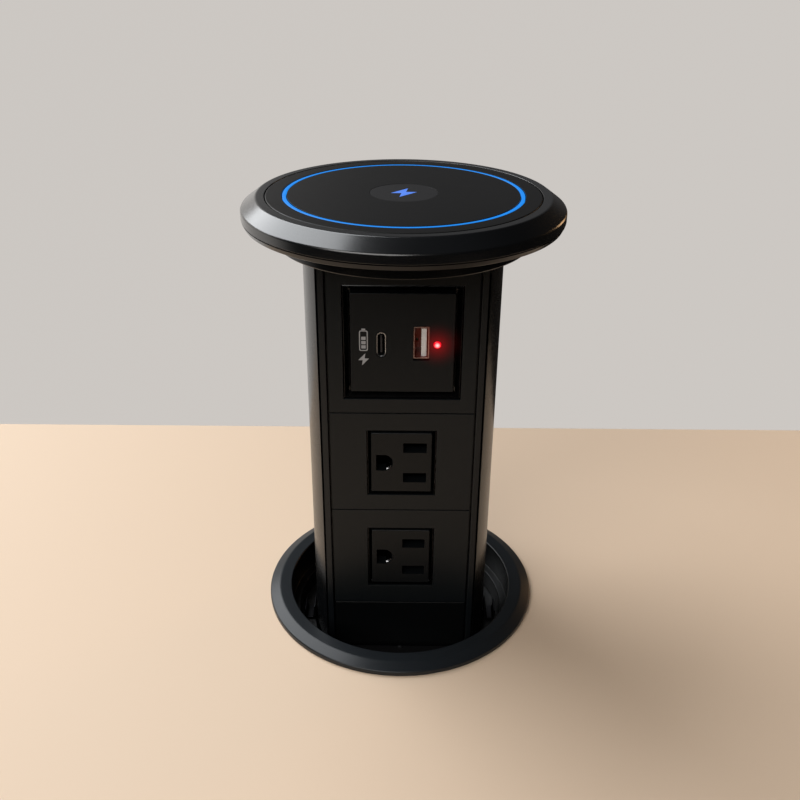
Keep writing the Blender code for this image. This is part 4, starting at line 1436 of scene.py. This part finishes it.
@dataclass
class UsbInsert:
    """The USB insert: a frame that slopes inwards, a face with two ports, a light and a printed sign."""

    frame_box: Extent = extent("usb_bezel")
    face: Extent = extent("usb_face")
    c_shell: Extent = extent("usb_c_shell")
    c_tongue: Extent = extent("usb_c_tongue")
    a_shell: Extent = extent("usb_a_shell")
    a_tongue: Extent = extent("usb_a_tongue")
    lens: Extent = extent("status_led")
    panel: Extent = extent("usb_panel")
    margin: float = 0.3 * MM
    play: float = 0.15 * MM
    c_wall: float = 0.28 * MM
    a_wall: float = 0.35 * MM
    a_rise: float = 0.6 * MM
    spring_rise: float = 2.9 * MM
    recess_rise: float = 2.6 * MM
    contact_rises: tuple[float, ...] = (-3.5 * MM, -1.0 * MM, 1.0 * MM, 3.5 * MM)
    sign_place: tuple[float, float] = (-13.4 * MM, 1.1 * MM)
    bar_rises: tuple[float, ...] = (-2.3 * MM, -0.7 * MM, 0.9 * MM)

    def build(self) -> None:
        """Builds and dresses every piece."""
        window = (self.frame_box.size.x + 2 * self.margin, self.frame_box.size.z + 2 * self.margin)
        FrontPanel("usb_panel", "usb_front", (*window, self.frame_box.centre.z)).build()
        self.build_frame()
        self.build_face()
        self.build_port_c()
        self.build_port_a()
        self.build_lens()
        self.build_sign()

    def build_frame(self) -> None:
        """Builds the frame, whose visible side slopes down towards the face."""
        middle = self.frame_box.centre.z
        width, height = self.frame_box.size.x, self.frame_box.size.z
        inner_width = self.face.size.x + 2 * self.margin
        inner_height = self.face.size.z + 2 * self.margin
        front = self.panel.low.y
        outer = rectangle(width, height, 0.0, 0.0, middle)
        lip = rectangle(width - 0.5 * MM, height - 0.5 * MM, 0.0, 0.0, middle)
        inner = rectangle(inner_width, inner_height, 0.0, 0.0, middle)
        floor = rectangle(inner_width + 0.8 * MM, inner_height + 0.8 * MM, 0.0, 0.0, middle)
        loops = [
            (outer, front + 0.55 * MM),
            (lip, front + 0.45 * MM),
            (floor, front + 2.5 * MM),
            (inner, front + 2.6 * MM),
            (inner, self.frame_box.high.y),
            (outer, self.frame_box.high.y),
        ]
        shape = loop_stack(loops, Facing.FRONT)
        finish_piece(
            shape, "usb_frame", Body.TOWER, FRAME_PLASTIC, "usb_bezel", smooth=FRAME_SMOOTH_LIMIT
        )

    def build_face(self) -> None:
        """Builds the raised face with its three openings."""
        face = self.face
        port_c = self.c_outline(self.play)
        port_a = rectangle(
            self.a_shell.size.x + 2 * self.play,
            self.a_shell.size.z + 2 * self.play,
            0.35 * MM,
            self.a_shell.centre.x,
            self.a_shell.centre.z,
        )
        hole = Round(self.lens.size.x / 2 + self.play, 24, self.lens.centre.x, self.lens.centre.z)
        outline = rectangle(face.size.x, face.size.z, 0.5 * MM, 0.0, face.centre.z)
        shape = prism([outline, port_c, port_a, hole], Facing.FRONT, face.low.y, face.high.y)
        soften_front(shape, face, 0.45 * MM, 0.10 * MM)
        finish_piece(shape, "usb_insert_face", Body.TOWER, INSERT_PLASTIC, "usb_face")

    def c_outline(self, grow: float) -> list[Corner]:
        """Returns the small port's round-ended outline.

        Args:
            grow: How far it stands outside the shell, or inside if it is negative.

        Returns:
            Its corners.
        """
        shell = self.c_shell
        width, height = shell.size.x + 2 * grow, shell.size.z + 2 * grow
        return rectangle(width, height, 0.49 * width, shell.centre.x, shell.centre.z)

    def build_port_c(self) -> None:
        """Builds the small port's drawn metal shell and the tongue in it."""
        shell = self.c_shell
        outer, lip, inner = (self.c_outline(-inset) for inset in (0.0, 0.1 * MM, self.c_wall))
        loops = [
            (outer, shell.low.y + 0.12 * MM),
            (lip, shell.low.y),
            (inner, shell.low.y + 0.06 * MM),
            (inner, shell.high.y),
            (outer, shell.high.y),
        ]
        finish_piece(loop_stack(loops, Facing.FRONT), "port_c_shell", Body.TOWER, PLATED_STEEL, "usb_c_shell")
        tongue = self.c_tongue
        outline = rectangle(tongue.size.x, tongue.size.z, 0.2 * MM, shell.centre.x, shell.centre.z)
        shape = prism([outline], Facing.FRONT, tongue.low.y, tongue.high.y)
        soften(shape, 0.12 * MM, 2, lambda point: point.y < tongue.low.y + 0.05 * MM)
        finish_piece(shape, "port_c_tongue", Body.TOWER, GLAND_PLASTIC, "usb_c_tongue")

    def build_port_a(self) -> None:
        """Builds the large port's folded shell with its springs, and the tongue with its contacts."""
        shell = self.a_shell
        inset = 2 * self.a_wall
        x, z = shell.centre.x, shell.centre.z + self.a_rise / 2
        height = shell.size.z - self.a_rise
        outer = rectangle(shell.size.x, height, 0.35 * MM, x, z)
        inner = rectangle(shell.size.x - inset, height - inset, 0.15 * MM, x, z)
        loops = [(outer, shell.low.y), (inner, shell.low.y), (inner, shell.high.y), (outer, shell.high.y)]
        shape = loop_stack(loops, Facing.FRONT)
        soften(shape, 0.08 * MM, 2, lambda point: point.y < shell.low.y + 0.05 * MM, 60.0)
        # The shell and its springs carry painted red light from the status light.
        finish_piece(shape, "port_a_shell", Body.TOWER, PAINTED_LIT_STEEL, "usb_a_shell")
        left = shell.low.x + self.a_wall
        springs = []
        for offset in (-self.spring_rise, self.spring_rise):
            front = shell.low.y + 1.1 * MM
            leaf = [
                (left + 0.02 * MM, front, 0.0),
                (left + 0.55 * MM, front + 2.2 * MM, 0.5 * MM),
                (left + 0.02 * MM, front + 4.4 * MM, 0.0),
                (left + 0.02 * MM, front + 4.1 * MM, 0.0),
                (left + 0.38 * MM, front + 2.2 * MM, 0.4 * MM),
                (left + 0.02 * MM, front + 0.3 * MM, 0.0),
            ]
            springs.append(prism([leaf], Facing.UP, z + offset - 0.9 * MM, z + offset + 0.9 * MM))
        finish_piece(merged(springs), "port_a_springs", Body.TOWER, PAINTED_LIT_STEEL)
        tongue = self.a_tongue
        outline = rectangle(tongue.size.x, tongue.size.z, 0.1 * MM, tongue.centre.x, tongue.centre.z)
        shape = prism([outline], Facing.FRONT, tongue.low.y, tongue.high.y)
        soften(shape, 0.12 * MM, 2, lambda point: point.y < tongue.low.y + 0.05 * MM)
        finish_piece(shape, "port_a_tongue", Body.TOWER, PALE_MOULDING, "usb_a_tongue")
        back = shell.high.y
        inner_box = rectangle(shell.size.x - inset, height - inset, 0.1 * MM, x, z)
        recesses = [
            rectangle(0.9 * MM, 1.5 * MM, 0.3 * MM, left + 1.0 * MM, z + rise)
            for rise in (-self.recess_rise, self.recess_rise)
        ]
        insulator = prism([inner_box, *recesses], Facing.FRONT, back - 1.2 * MM, back - 0.1 * MM)
        finish_piece(insulator, "port_a_insulator", Body.TOWER, PAINTED_LIT_INSULATOR)
        strips = []
        for rise in self.contact_rises:
            outline = rectangle(0.12 * MM, 1.0 * MM, 0.0, tongue.low.x - 0.02 * MM, tongue.centre.z + rise)
            strips.append(prism([outline], Facing.FRONT, tongue.low.y + 0.8 * MM, tongue.high.y - 1.0 * MM))
        finish_piece(merged(strips), "port_a_contacts", Body.TOWER, STAMPED_BRASS)

    def build_lens(self) -> None:
        """Builds the light's domed lens."""
        lens = self.lens
        radius = lens.size.x / 2
        depth = lens.size.y
        section = [
            (0.0, 0.12 * MM, 0.0),
            (0.75 * radius, 0.06 * MM, 0.0),
            (radius, -0.15 * MM, 0.1 * MM),
            (radius, -depth, 0.0),
            (0.0, -depth, 0.0),
        ]
        shape = turned(section, STEPS_SMALL, closed=False)
        place = Matrix.Translation((lens.centre.x, lens.low.y, lens.centre.z))
        moved(shape, place @ Matrix.Rotation(math.pi / 2, 4, "X"))
        finish_piece(shape, "status_light", Body.TOWER, RED_LENS, "status_led")

    def build_sign(self) -> None:
        """Builds the printed sign for charging: a battery with three bars in it, and a bolt below."""
        x, rise = self.sign_place
        z = self.face.centre.z + rise
        front = self.face.low.y - 0.025 * MM
        back = self.face.low.y + 0.02 * MM
        bars = [[rectangle(1.5 * MM, 1.2 * MM, 0.1 * MM, x, z + bar)] for bar in self.bar_rises]
        parts = [
            [rectangle(3.0 * MM, 7.6 * MM, 0.6 * MM, x, z), rectangle(2.3 * MM, 6.9 * MM, 0.4 * MM, x, z)],
            [rectangle(1.3 * MM, 0.6 * MM, 0.1 * MM, x, z + 4.2 * MM)],
            *bars,
            [bolt(4.6 * MM, x, z - 7.0 * MM, 0.05 * MM)],
        ]
        shapes = [prism(outlines, Facing.FRONT, front, back) for outlines in parts]
        finish_piece(merged(shapes), "charging_sign", Body.TOWER, PALE_INK)


@dataclass
class OutletInsert:
    """One mains outlet: its panel, the moat round it, the face and the contacts behind the openings."""

    level: str
    slot_width: float = 8.6 * MM
    slot_height: float = 4.0 * MM
    slot_x: float = 4.9 * MM
    slot_rise: float = 6.35 * MM
    earth_flat: float = -9.3 * MM
    earth_round: float = -3.1 * MM
    earth_height: float = 6.7 * MM
    leaf: float = 0.6 * MM
    margin: float = 0.3 * MM
    earth_reach: float = 3.6 * MM
    contact_flare: float = 0.35 * MM
    lip_play: float = 0.12 * MM
    lip_depth: float = 5.0 * MM
    lip_sweep: tuple[float, float] = (28.0, 44.0)

    def build(self) -> None:
        """Builds and dresses every piece."""
        moat = Extent.of(f"outlet_bezel_{self.level}")
        face = Extent.of(f"outlet_face_{self.level}")
        window = (moat.size.x + 2 * self.margin, moat.size.z + 2 * self.margin, moat.centre.z)
        FrontPanel(f"outlet_panel_{self.level}", f"outlet_front_{self.level}", window).build()
        self.build_moat(moat, face)
        self.build_face(face)
        self.build_contacts()
        self.build_earth_tab(face)

    def build_moat(self, moat: Extent, face: Extent) -> None:
        """Builds the dark frame that slopes down to the face.

        Args:
            moat: The frame's box.
            face: The face's box.
        """
        middle = moat.centre.z
        front = Extent.of(f"outlet_panel_{self.level}").low.y
        outer = rectangle(moat.size.x, moat.size.z, 0.0, 0.0, middle)
        lip = rectangle(moat.size.x - 0.3 * MM, moat.size.z - 0.3 * MM, 0.0, 0.0, middle)
        play = 2 * self.margin
        inner = rectangle(face.size.x + play, face.size.z + play, 0.0, 0.0, middle)
        floor = rectangle(face.size.x + 0.8 * MM, face.size.z + 0.8 * MM, 0.0, 0.0, middle)
        loops = [
            (outer, front + 0.45 * MM),
            (lip, front + 0.40 * MM),
            (floor, front + 2.2 * MM),
            (inner, front + 2.3 * MM),
            (inner, moat.high.y),
            (outer, moat.high.y),
        ]
        shape = loop_stack(loops, Facing.FRONT)
        name, node = f"outlet_moat_{self.level}", f"outlet_bezel_{self.level}"
        finish_piece(shape, name, Body.TOWER, MOAT_PLASTIC, node, smooth=FRAME_SMOOTH_LIMIT)

    def earth_outline(self, middle: float) -> list[Corner]:
        """Returns the earth opening: a D with its flat side to the left.

        Args:
            middle: The height of its middle.

        Returns:
            Its corners.
        """
        low, high = middle - self.earth_height / 2, middle + self.earth_height / 2
        full = 0.4995 * self.earth_height
        return [
            (self.earth_flat, high, 0.2 * MM),
            (self.earth_flat, low, 0.2 * MM),
            (self.earth_round, low, full),
            (self.earth_round, high, full),
        ]

    def build_face(self, face: Extent) -> None:
        """Builds the face with two blade slots and the earth opening.

        Args:
            face: The face's box.
        """
        middle = face.centre.z
        slots = [
            rectangle(self.slot_width, self.slot_height, 0.2 * MM, self.slot_x, middle + rise)
            for rise in (self.slot_rise, -self.slot_rise)
        ]
        outline = rectangle(face.size.x, face.size.z, 0.5 * MM, 0.0, middle)
        outlines = [outline, *slots, self.earth_outline(middle)]
        shape = prism(outlines, Facing.FRONT, face.low.y, face.high.y)
        soften_front(shape, face, 0.40 * MM, 0.15 * MM)
        name = f"outlet_insert_{self.level}"
        finish_piece(shape, name, Body.TOWER, OUTLET_PLASTIC, f"outlet_face_{self.level}")

    def build_earth_tab(self, face: Extent) -> None:
        """Builds the plated lip in the earth opening's lower right, which guides the pin to its contact.

        Args:
            face: The face's box.
        """
        centre = Vector((self.earth_round - self.earth_height / 2, face.low.y, face.centre.z))
        outer = self.earth_height / 2 - self.lip_play
        inner = outer - self.leaf
        lip = bmesh.new()
        section = [
            (outer, 0.5 * MM, 0.1 * MM),
            (outer, self.lip_depth, 0.0),
            (inner, self.lip_depth, 0.0),
            (inner, 1.2 * MM, 0.3 * MM),
        ]
        add_loop(lip, section)
        bmesh.ops.contextual_create(lip, geom=lip.edges[:])
        start, sweep = self.lip_sweep
        bmesh.ops.spin(
            lip,
            geom=lip.faces[:],
            cent=(0.0, 0.0, 0.0),
            axis=(0.0, 1.0, 0.0),
            angle=math.radians(sweep),
            steps=12,
            use_merge=False,
        )
        turn = Matrix.Rotation(math.radians(start), 4, "Y")
        moved(lip, Matrix.Translation(centre) @ turn)
        finish_piece(tidy(lip), f"earth_lip_{self.level}", Body.TOWER, EARTH_PLATING)

    def build_contacts(self) -> None:
        """Builds the sprung contacts, with flared mouths; the earth's stands further forward."""
        poles = {
            "line": (0.0, STAMPED_BRASS),
            "neutral": (0.0, STAMPED_BRASS),
            "earth": (self.earth_reach, EARTH_PLATING),
        }
        flare = self.contact_flare
        for pole, (reach, finish) in poles.items():
            node = f"contact_{pole}_{self.level}"
            place = Extent.of(node)
            high, low = place.high.z, place.low.z
            mouth, back = place.low.y - reach, place.high.y
            corners = [
                (mouth, high + flare, 0.0),
                (mouth + 1.4 * MM, high, 0.3 * MM),
                (back, high, 0.9 * MM),
                (back, low, 0.9 * MM),
                (mouth + 1.4 * MM, low, 0.3 * MM),
                (mouth, low - flare, 0.0),
                (mouth, low - flare + self.leaf, 0.0),
                (mouth + 1.4 * MM, low + self.leaf, 0.3 * MM),
                (back - self.leaf, low + self.leaf, 0.4 * MM),
                (back - self.leaf, high - self.leaf, 0.4 * MM),
                (mouth + 1.4 * MM, high - self.leaf, 0.3 * MM),
                (mouth, high + flare - self.leaf, 0.0),
            ]
            shape = prism([corners], Facing.SIDE, place.low.x, place.high.x)
            finish_piece(shape, f"{pole}_spring_{self.level}", Body.TOWER, finish, node)


# ---------------------------------------------------------------- cap


@dataclass
class ChargingCap:
    """The round cap with its bevelled rim, the tray under it and the charging plate with its light."""

    rim: Extent = extent("cap_rim")
    tray: Extent = extent("cap_base")
    plate: Extent = extent("charge_plate")
    ring: Extent = extent("light_ring")
    inlay: Extent = extent("mark_disc")
    mark: Extent = extent("charge_mark")
    coil: Extent = extent("charging_coil")
    bevel_width: float = 5.2 * MM
    bevel_drop: float = 3.8 * MM
    ledge_drop: float = 2.8 * MM
    collar: float = 43.9 * MM
    underside_drop: float = 9.0 * MM
    rim_inner: float = 44.5 * MM
    tray_hole: float = 5.5 * MM
    tray_well: float = 38.5 * MM
    tray_inner: float = 41.6 * MM
    floor_thickness: float = 2.2 * MM
    coil_inner: float = 9.0 * MM
    ring_width: float = 1.2 * MM
    groove_play: float = 0.3 * MM
    mark_size: float = 11.0 * MM
    wire: float = 1.0 * MM

    def build(self) -> None:
        """Builds and dresses every piece."""
        self.build_rim()
        self.build_tray()
        self.build_plate()
        self.build_light()
        self.build_charger()

    def build_rim(self) -> None:
        """Builds the bevelled rim."""
        top, bottom, radius = self.rim.high.z, self.rim.low.z, self.rim.high.x
        ledge = top - self.ledge_drop
        seat = self.plate.high.x + 0.3 * MM
        section = [
            (seat, top, 0.2 * MM),
            (radius - self.bevel_width, top, 0.45 * MM),
            (radius, top - self.bevel_drop, 0.5 * MM),
            (radius, bottom, 0.2 * MM),
            (self.rim_inner, bottom, 0.0),
            (self.rim_inner, ledge, 0.0),
            (seat, ledge, 0.0),
        ]
        finish_piece(turned(section, STEPS_CAP), "cap_bevel_ring", Body.TOWER, CAP_COAT, "cap_rim")

    def build_tray(self) -> None:
        """Builds the tray, whose collar sits on the column."""
        top, bottom = self.tray.high.z, self.tray.low.z
        underside = self.rim.high.z - self.underside_drop
        edge = self.tray.high.x
        floor = bottom + self.floor_thickness
        section = [
            (edge, top, 0.15 * MM),
            (edge - 0.9 * MM, underside, 0.35 * MM),
            (self.collar, underside, 0.5 * MM),
            (self.collar, bottom, 0.55 * MM),
            (self.tray_hole, bottom, 0.3 * MM),
            (self.tray_hole, floor, 0.3 * MM),
            (self.tray_well, floor, 0.0),
            (self.tray_well, floor + 2.0 * MM, 0.0),
            (self.tray_inner, floor + 2.0 * MM, 0.0),
            (self.tray_inner, top, 0.0),
        ]
        finish_piece(turned(section, STEPS_CAP), "cap_tray", Body.TOWER, TRAY_COAT, "cap_base")

    def build_plate(self) -> None:
        """Builds the charging plate with a groove for the light and a recess for the inlay."""
        top, bottom, radius = self.plate.high.z, self.plate.low.z, self.plate.high.x
        inner = self.ring.high.x - self.ring_width - self.groove_play
        outer = self.ring.high.x + self.groove_play
        recess = self.inlay.high.x + self.groove_play
        recess_floor = self.inlay.low.z - 0.3 * MM
        groove_floor = self.ring.low.z - 0.3 * MM
        section = [
            (0.0, recess_floor, 0.0),
            (recess, recess_floor, 0.0),
            (recess, top, 0.06 * MM),
            (inner, top, 0.08 * MM),
            (inner, groove_floor, 0.0),
            (outer, groove_floor, 0.0),
            (outer, top, 0.08 * MM),
            (radius, top, 0.40 * MM),
            (radius, bottom, 0.0),
            (0.0, bottom, 0.0),
        ]
        disc = turned(section, STEPS_CAP, closed=False)
        finish_piece(disc, "charging_disc", Body.TOWER, CHARGING_PLATE, "charge_plate")
        low, high = self.inlay.low.z, self.inlay.high.z
        outline = Round(self.inlay.high.x + 0.2 * MM, 96)
        inlay = prism([outline, bolt(self.mark_size + 0.3 * MM)], Facing.UP, low, high)
        finish_piece(inlay, "mark_inlay", Body.TOWER, INLAY_PLATE, "mark_disc")
        sign = prism([bolt(self.mark_size, fillet=0.15 * MM)], Facing.UP, self.mark.low.z, self.mark.high.z)
        finish_piece(sign, "bolt_mark", Body.TOWER, BLUE_MARK, "charge_mark")

    def build_light(self) -> None:
        """Builds the lit ring."""
        low, high, outer = self.ring.low.z, self.ring.high.z, self.ring.high.x
        inner = outer - self.ring_width
        section = [(inner, high, 0.2 * MM), (outer, high, 0.2 * MM), (outer, low, 0.0), (inner, low, 0.0)]
        finish_piece(turned(section, STEPS_CAP), "halo_ring", Body.TOWER, BLUE_GUIDE, "light_ring")

    def build_charger(self) -> None:
        """Builds the wound coil, and dresses the plain parts inside the cap."""
        middle = (self.coil.low.z + self.coil.high.z) / 2
        turns = []
        radius = self.coil.high.x - self.wire / 2
        while radius > self.coil_inner:
            section = bmesh.new()
            bmesh.ops.create_circle(section, segments=8, radius=0.48 * self.wire)
            place = Matrix.Translation((radius, 0.0, middle)) @ Matrix.Rotation(math.pi / 2, 4, "X")
            bmesh.ops.transform(section, matrix=place, verts=section.verts)
            bmesh.ops.spin(
                section,
                geom=section.verts[:] + section.edges[:],
                cent=(0.0, 0.0, 0.0),
                axis=(0.0, 0.0, 1.0),
                angle=math.tau,
                steps=72,
                use_merge=True,
            )
            turns.append(tidy(section))
            radius -= self.wire
        finish_piece(merged(turns), "wound_coil", Body.TOWER, LITZ_WIRE, "charging_coil")
        dress_node("ferrite_disc", SINTERED_FERRITE)
        dress_node("coil_carrier", PALE_MOULDING)
        dress_node("charger_board", SOLDER_RESIST)
        for node in ("cap_screw_1", "cap_screw_2"):
            dress_node(node, PLATED_STEEL)


# ---------------------------------------------------------------- stage


@dataclass(frozen=True)
class SoftBox:
    """One rectangular light, aimed at a point."""

    name: str
    place: Point
    target: Point
    size: tuple[float, float]
    power: float
    colour: Colour = (1.0, 1.0, 1.0)

    def build(self) -> None:
        """Adds the light, unseen by the camera itself."""
        lamp = bpy.data.lights.new(self.name, "AREA")
        lamp.shape = "RECTANGLE"
        lamp.size, lamp.size_y = self.size
        lamp.energy = self.power
        lamp.color = self.colour
        obj = bpy.data.objects.new(self.name, lamp)
        obj.location = self.place
        aim = Vector(self.target) - Vector(self.place)
        obj.rotation_euler = aim.to_track_quat("-Z", "Y").to_euler()
        obj.visible_camera = False
        bpy.context.scene.collection.objects.link(obj)


@dataclass(frozen=True)
class AirGlow:
    """A soft bright area of the surroundings, round a direction."""

    aim: Point
    inner: float
    outer: float
    colour: Colour

    def add(self, tree: Tree, place: Socket, base: Colour | Socket) -> Socket:
        """Adds the area to the surroundings.

        Args:
            tree: The world's node tree.
            place: The direction that is looked at.
            base: The colour so far, a value or a socket.

        Returns:
            The new colour.
        """
        toward = add_node(tree, "ShaderNodeVectorMath", operation="DOT_PRODUCT")
        tree.links.new(place, toward.inputs[0])
        toward.inputs[1].default_value = Vector(self.aim).normalized()
        limits = {
            "From Min": math.cos(math.radians(self.outer)),
            "From Max": math.cos(math.radians(self.inner)),
        }
        fade = add_node(tree, "ShaderNodeMapRange", limits, interpolation_type="SMOOTHSTEP")
        tree.links.new(toward.outputs["Value"], fade.inputs["Value"])
        mix = add_node(tree, "ShaderNodeMix", data_type="RGBA", blend_type="ADD")
        tree.links.new(fade.outputs["Result"], mix.inputs[0])
        if isinstance(base, Socket):
            tree.links.new(base, mix.inputs[6])
        else:
            mix.inputs[6].default_value = (*base, 1.0)
        mix.inputs[7].default_value = (*self.colour, 1.0)
        return mix.outputs[2]


@dataclass
class Studio:
    """The pale worktop, the backdrop, the soft lights and the camera."""

    hole: float = 47.0 * MM
    half_width: float = 0.25
    front_edge: float = -0.27
    back_edge: float = 0.135
    edge: float = 2.0 * MM
    thickness: float = 12.9 * MM
    boss_radius: float = 64.0 * MM
    worktop_colour: Colour = (0.77, 0.595, 0.44)
    backdrop_radius: float = 3.0
    backdrop_colour: Colour = (0.60, 0.57, 0.54)
    dim: Colour = (0.018, 0.017, 0.016)
    glows: tuple[AirGlow, ...] = (
        AirGlow((-0.72, 0.66, -0.22), 24.0, 52.0, (0.92, 0.88, 0.84)),
        AirGlow((0.0, 0.97, 0.24), 8.0, 34.0, (0.118, 0.118, 0.120)),
        AirGlow((0.0, 0.0, 1.0), 5.0, 45.0, (0.030, 0.032, 0.036)),
    )
    eye: Point = (-0.0007, -0.3062, 0.2459)
    pitch: float = 27.43
    roll: float = 0.46
    lens: float = 41.12
    lights: tuple[SoftBox, ...] = (
        SoftBox(
            "window_light", (-0.62, 0.42, 0.88), (0.0, 0.0, 0.10), (0.80, 1.05), 13.5, (0.95, 0.975, 1.0)
        ),
        SoftBox(
            "room_light", (-0.5, -0.95, 0.9), (-0.05, -0.05, 0.0), (1.2, 0.8), 11.0, (1.0, 0.98, 0.95)
        ),
        SoftBox(
            "lamp_light", (0.55, 0.50, 0.20), (0.0, 0.0, 0.04), (0.16, 0.26), 0.5, (1.0, 0.60, 0.30)
        ),
    )

    def build(self) -> None:
        """Sets the stage."""
        self.build_worktop()
        self.build_backdrop()
        self.build_air()
        for light in self.lights:
            light.build()
        self.build_camera()

    @staticmethod
    def stage_piece(shape: Mesh, name: str, colour: Colour, lit: float = 0.0) -> bpy.types.Object:
        """Adds a plain piece that isn't part of the object.

        Args:
            shape: Its mesh.
            name: Its name.
            colour: Its colour.
            lit: How strongly it shines in that colour.

        Returns:
            The piece.
        """
        mesh = bpy.data.meshes.new(name)
        shape.to_mesh(mesh)
        shape.free()
        mesh.shade_smooth()
        mesh.set_sharp_from_angle(angle=SMOOTH_LIMIT)
        material = bpy.data.materials.new(name + "_colour")
        material.use_nodes = True
        shader = material.node_tree.nodes["Principled BSDF"]
        shader.inputs["Base Color"].default_value = (*(colour if not lit else (0.0, 0.0, 0.0)), 1.0)
        shader.inputs["Roughness"].default_value = 0.65
        shader.inputs["Emission Color"].default_value = (*colour, 1.0)
        shader.inputs["Emission Strength"].default_value = lit
        mesh.materials.append(material)
        piece = bpy.data.objects.new(name, mesh)
        bpy.context.scene.collection.objects.link(piece)
        return piece

    def build_worktop(self) -> None:
        """Builds a thin worktop with a cut-out for the sleeve and a boss under it for the clamp."""
        depth = self.back_edge - self.front_edge
        middle = (self.back_edge + self.front_edge) / 2
        outline = rectangle(2 * self.half_width, depth, 3.0 * MM, 0.0, middle)
        board = prism([outline, Round(self.hole, STEPS_MEDIUM)], Facing.UP, -self.edge, 0.0)
        self.stage_piece(board, "pale_worktop", self.worktop_colour)
        section = [
            (self.hole, -self.edge, 0.0),
            (self.boss_radius + 3.0 * MM, -self.edge, 0.0),
            (self.boss_radius, -self.thickness, 1.0 * MM),
            (self.hole, -self.thickness, 0.0),
        ]
        self.stage_piece(turned(section, STEPS_MEDIUM), "pale_worktop_boss", self.worktop_colour)

    def build_backdrop(self) -> None:
        """Builds the plain backdrop all round, which lights nothing and isn't mirrored in the object."""
        shape = bmesh.new()
        bmesh.ops.create_uvsphere(shape, u_segments=48, v_segments=24, radius=self.backdrop_radius)
        bmesh.ops.reverse_faces(shape, faces=shape.faces)
        backdrop = self.stage_piece(shape, "pale_backdrop", self.backdrop_colour, 1.0)
        backdrop.visible_diffuse = False
        backdrop.visible_glossy = False
        backdrop.visible_transmission = False
        backdrop.visible_shadow = False

    def build_air(self) -> None:
        """Sets the soft light from all round: bright at the left, dim elsewhere."""
        world = bpy.data.worlds.new("air")
        world.use_nodes = True
        tree = world.node_tree
        place = add_node(tree, "ShaderNodeTexCoord").outputs["Generated"]
        colour = self.dim
        for glow in self.glows:
            colour = glow.add(tree, place, colour)
        tree.links.new(colour, tree.nodes["Background"].inputs["Color"])
        bpy.context.scene.world = world
        bpy.context.scene.view_settings.view_transform = "Standard"

    def build_camera(self) -> None:
        """Adds the camera and makes it the scene's own."""
        data = bpy.data.cameras.new("camera")
        data.lens = self.lens
        data.sensor_width = 36.0
        data.clip_start = 0.01
        camera = bpy.data.objects.new("camera", data)
        tilt = Matrix.Rotation(math.radians(90.0 - self.pitch), 4, "X")
        roll = Matrix.Rotation(math.radians(self.roll), 4, "Z")
        camera.matrix_world = Matrix.Translation(self.eye) @ tilt @ roll
        bpy.context.scene.collection.objects.link(camera)
        bpy.context.scene.camera = camera


def main() -> None:
    """Builds the assemblies in order, then the stage."""
    logging.basicConfig(level=logging.INFO, format="%(message)s")
    assemblies = [
        WorktopFlange(),
        Sleeve(),
        Clamp(),
        Column(),
        UsbInsert(),
        OutletInsert("upper"),
        OutletInsert("lower"),
        FrontPanel("lower_panel", "lower_front", finish=SHADED_COAT),
        ChargingCap(),
        Studio(),
    ]
    for assembly in assemblies:
        assembly.build()
        LOG.info("%s is done", type(assembly).__name__)


if __name__ == "__main__":
    main()
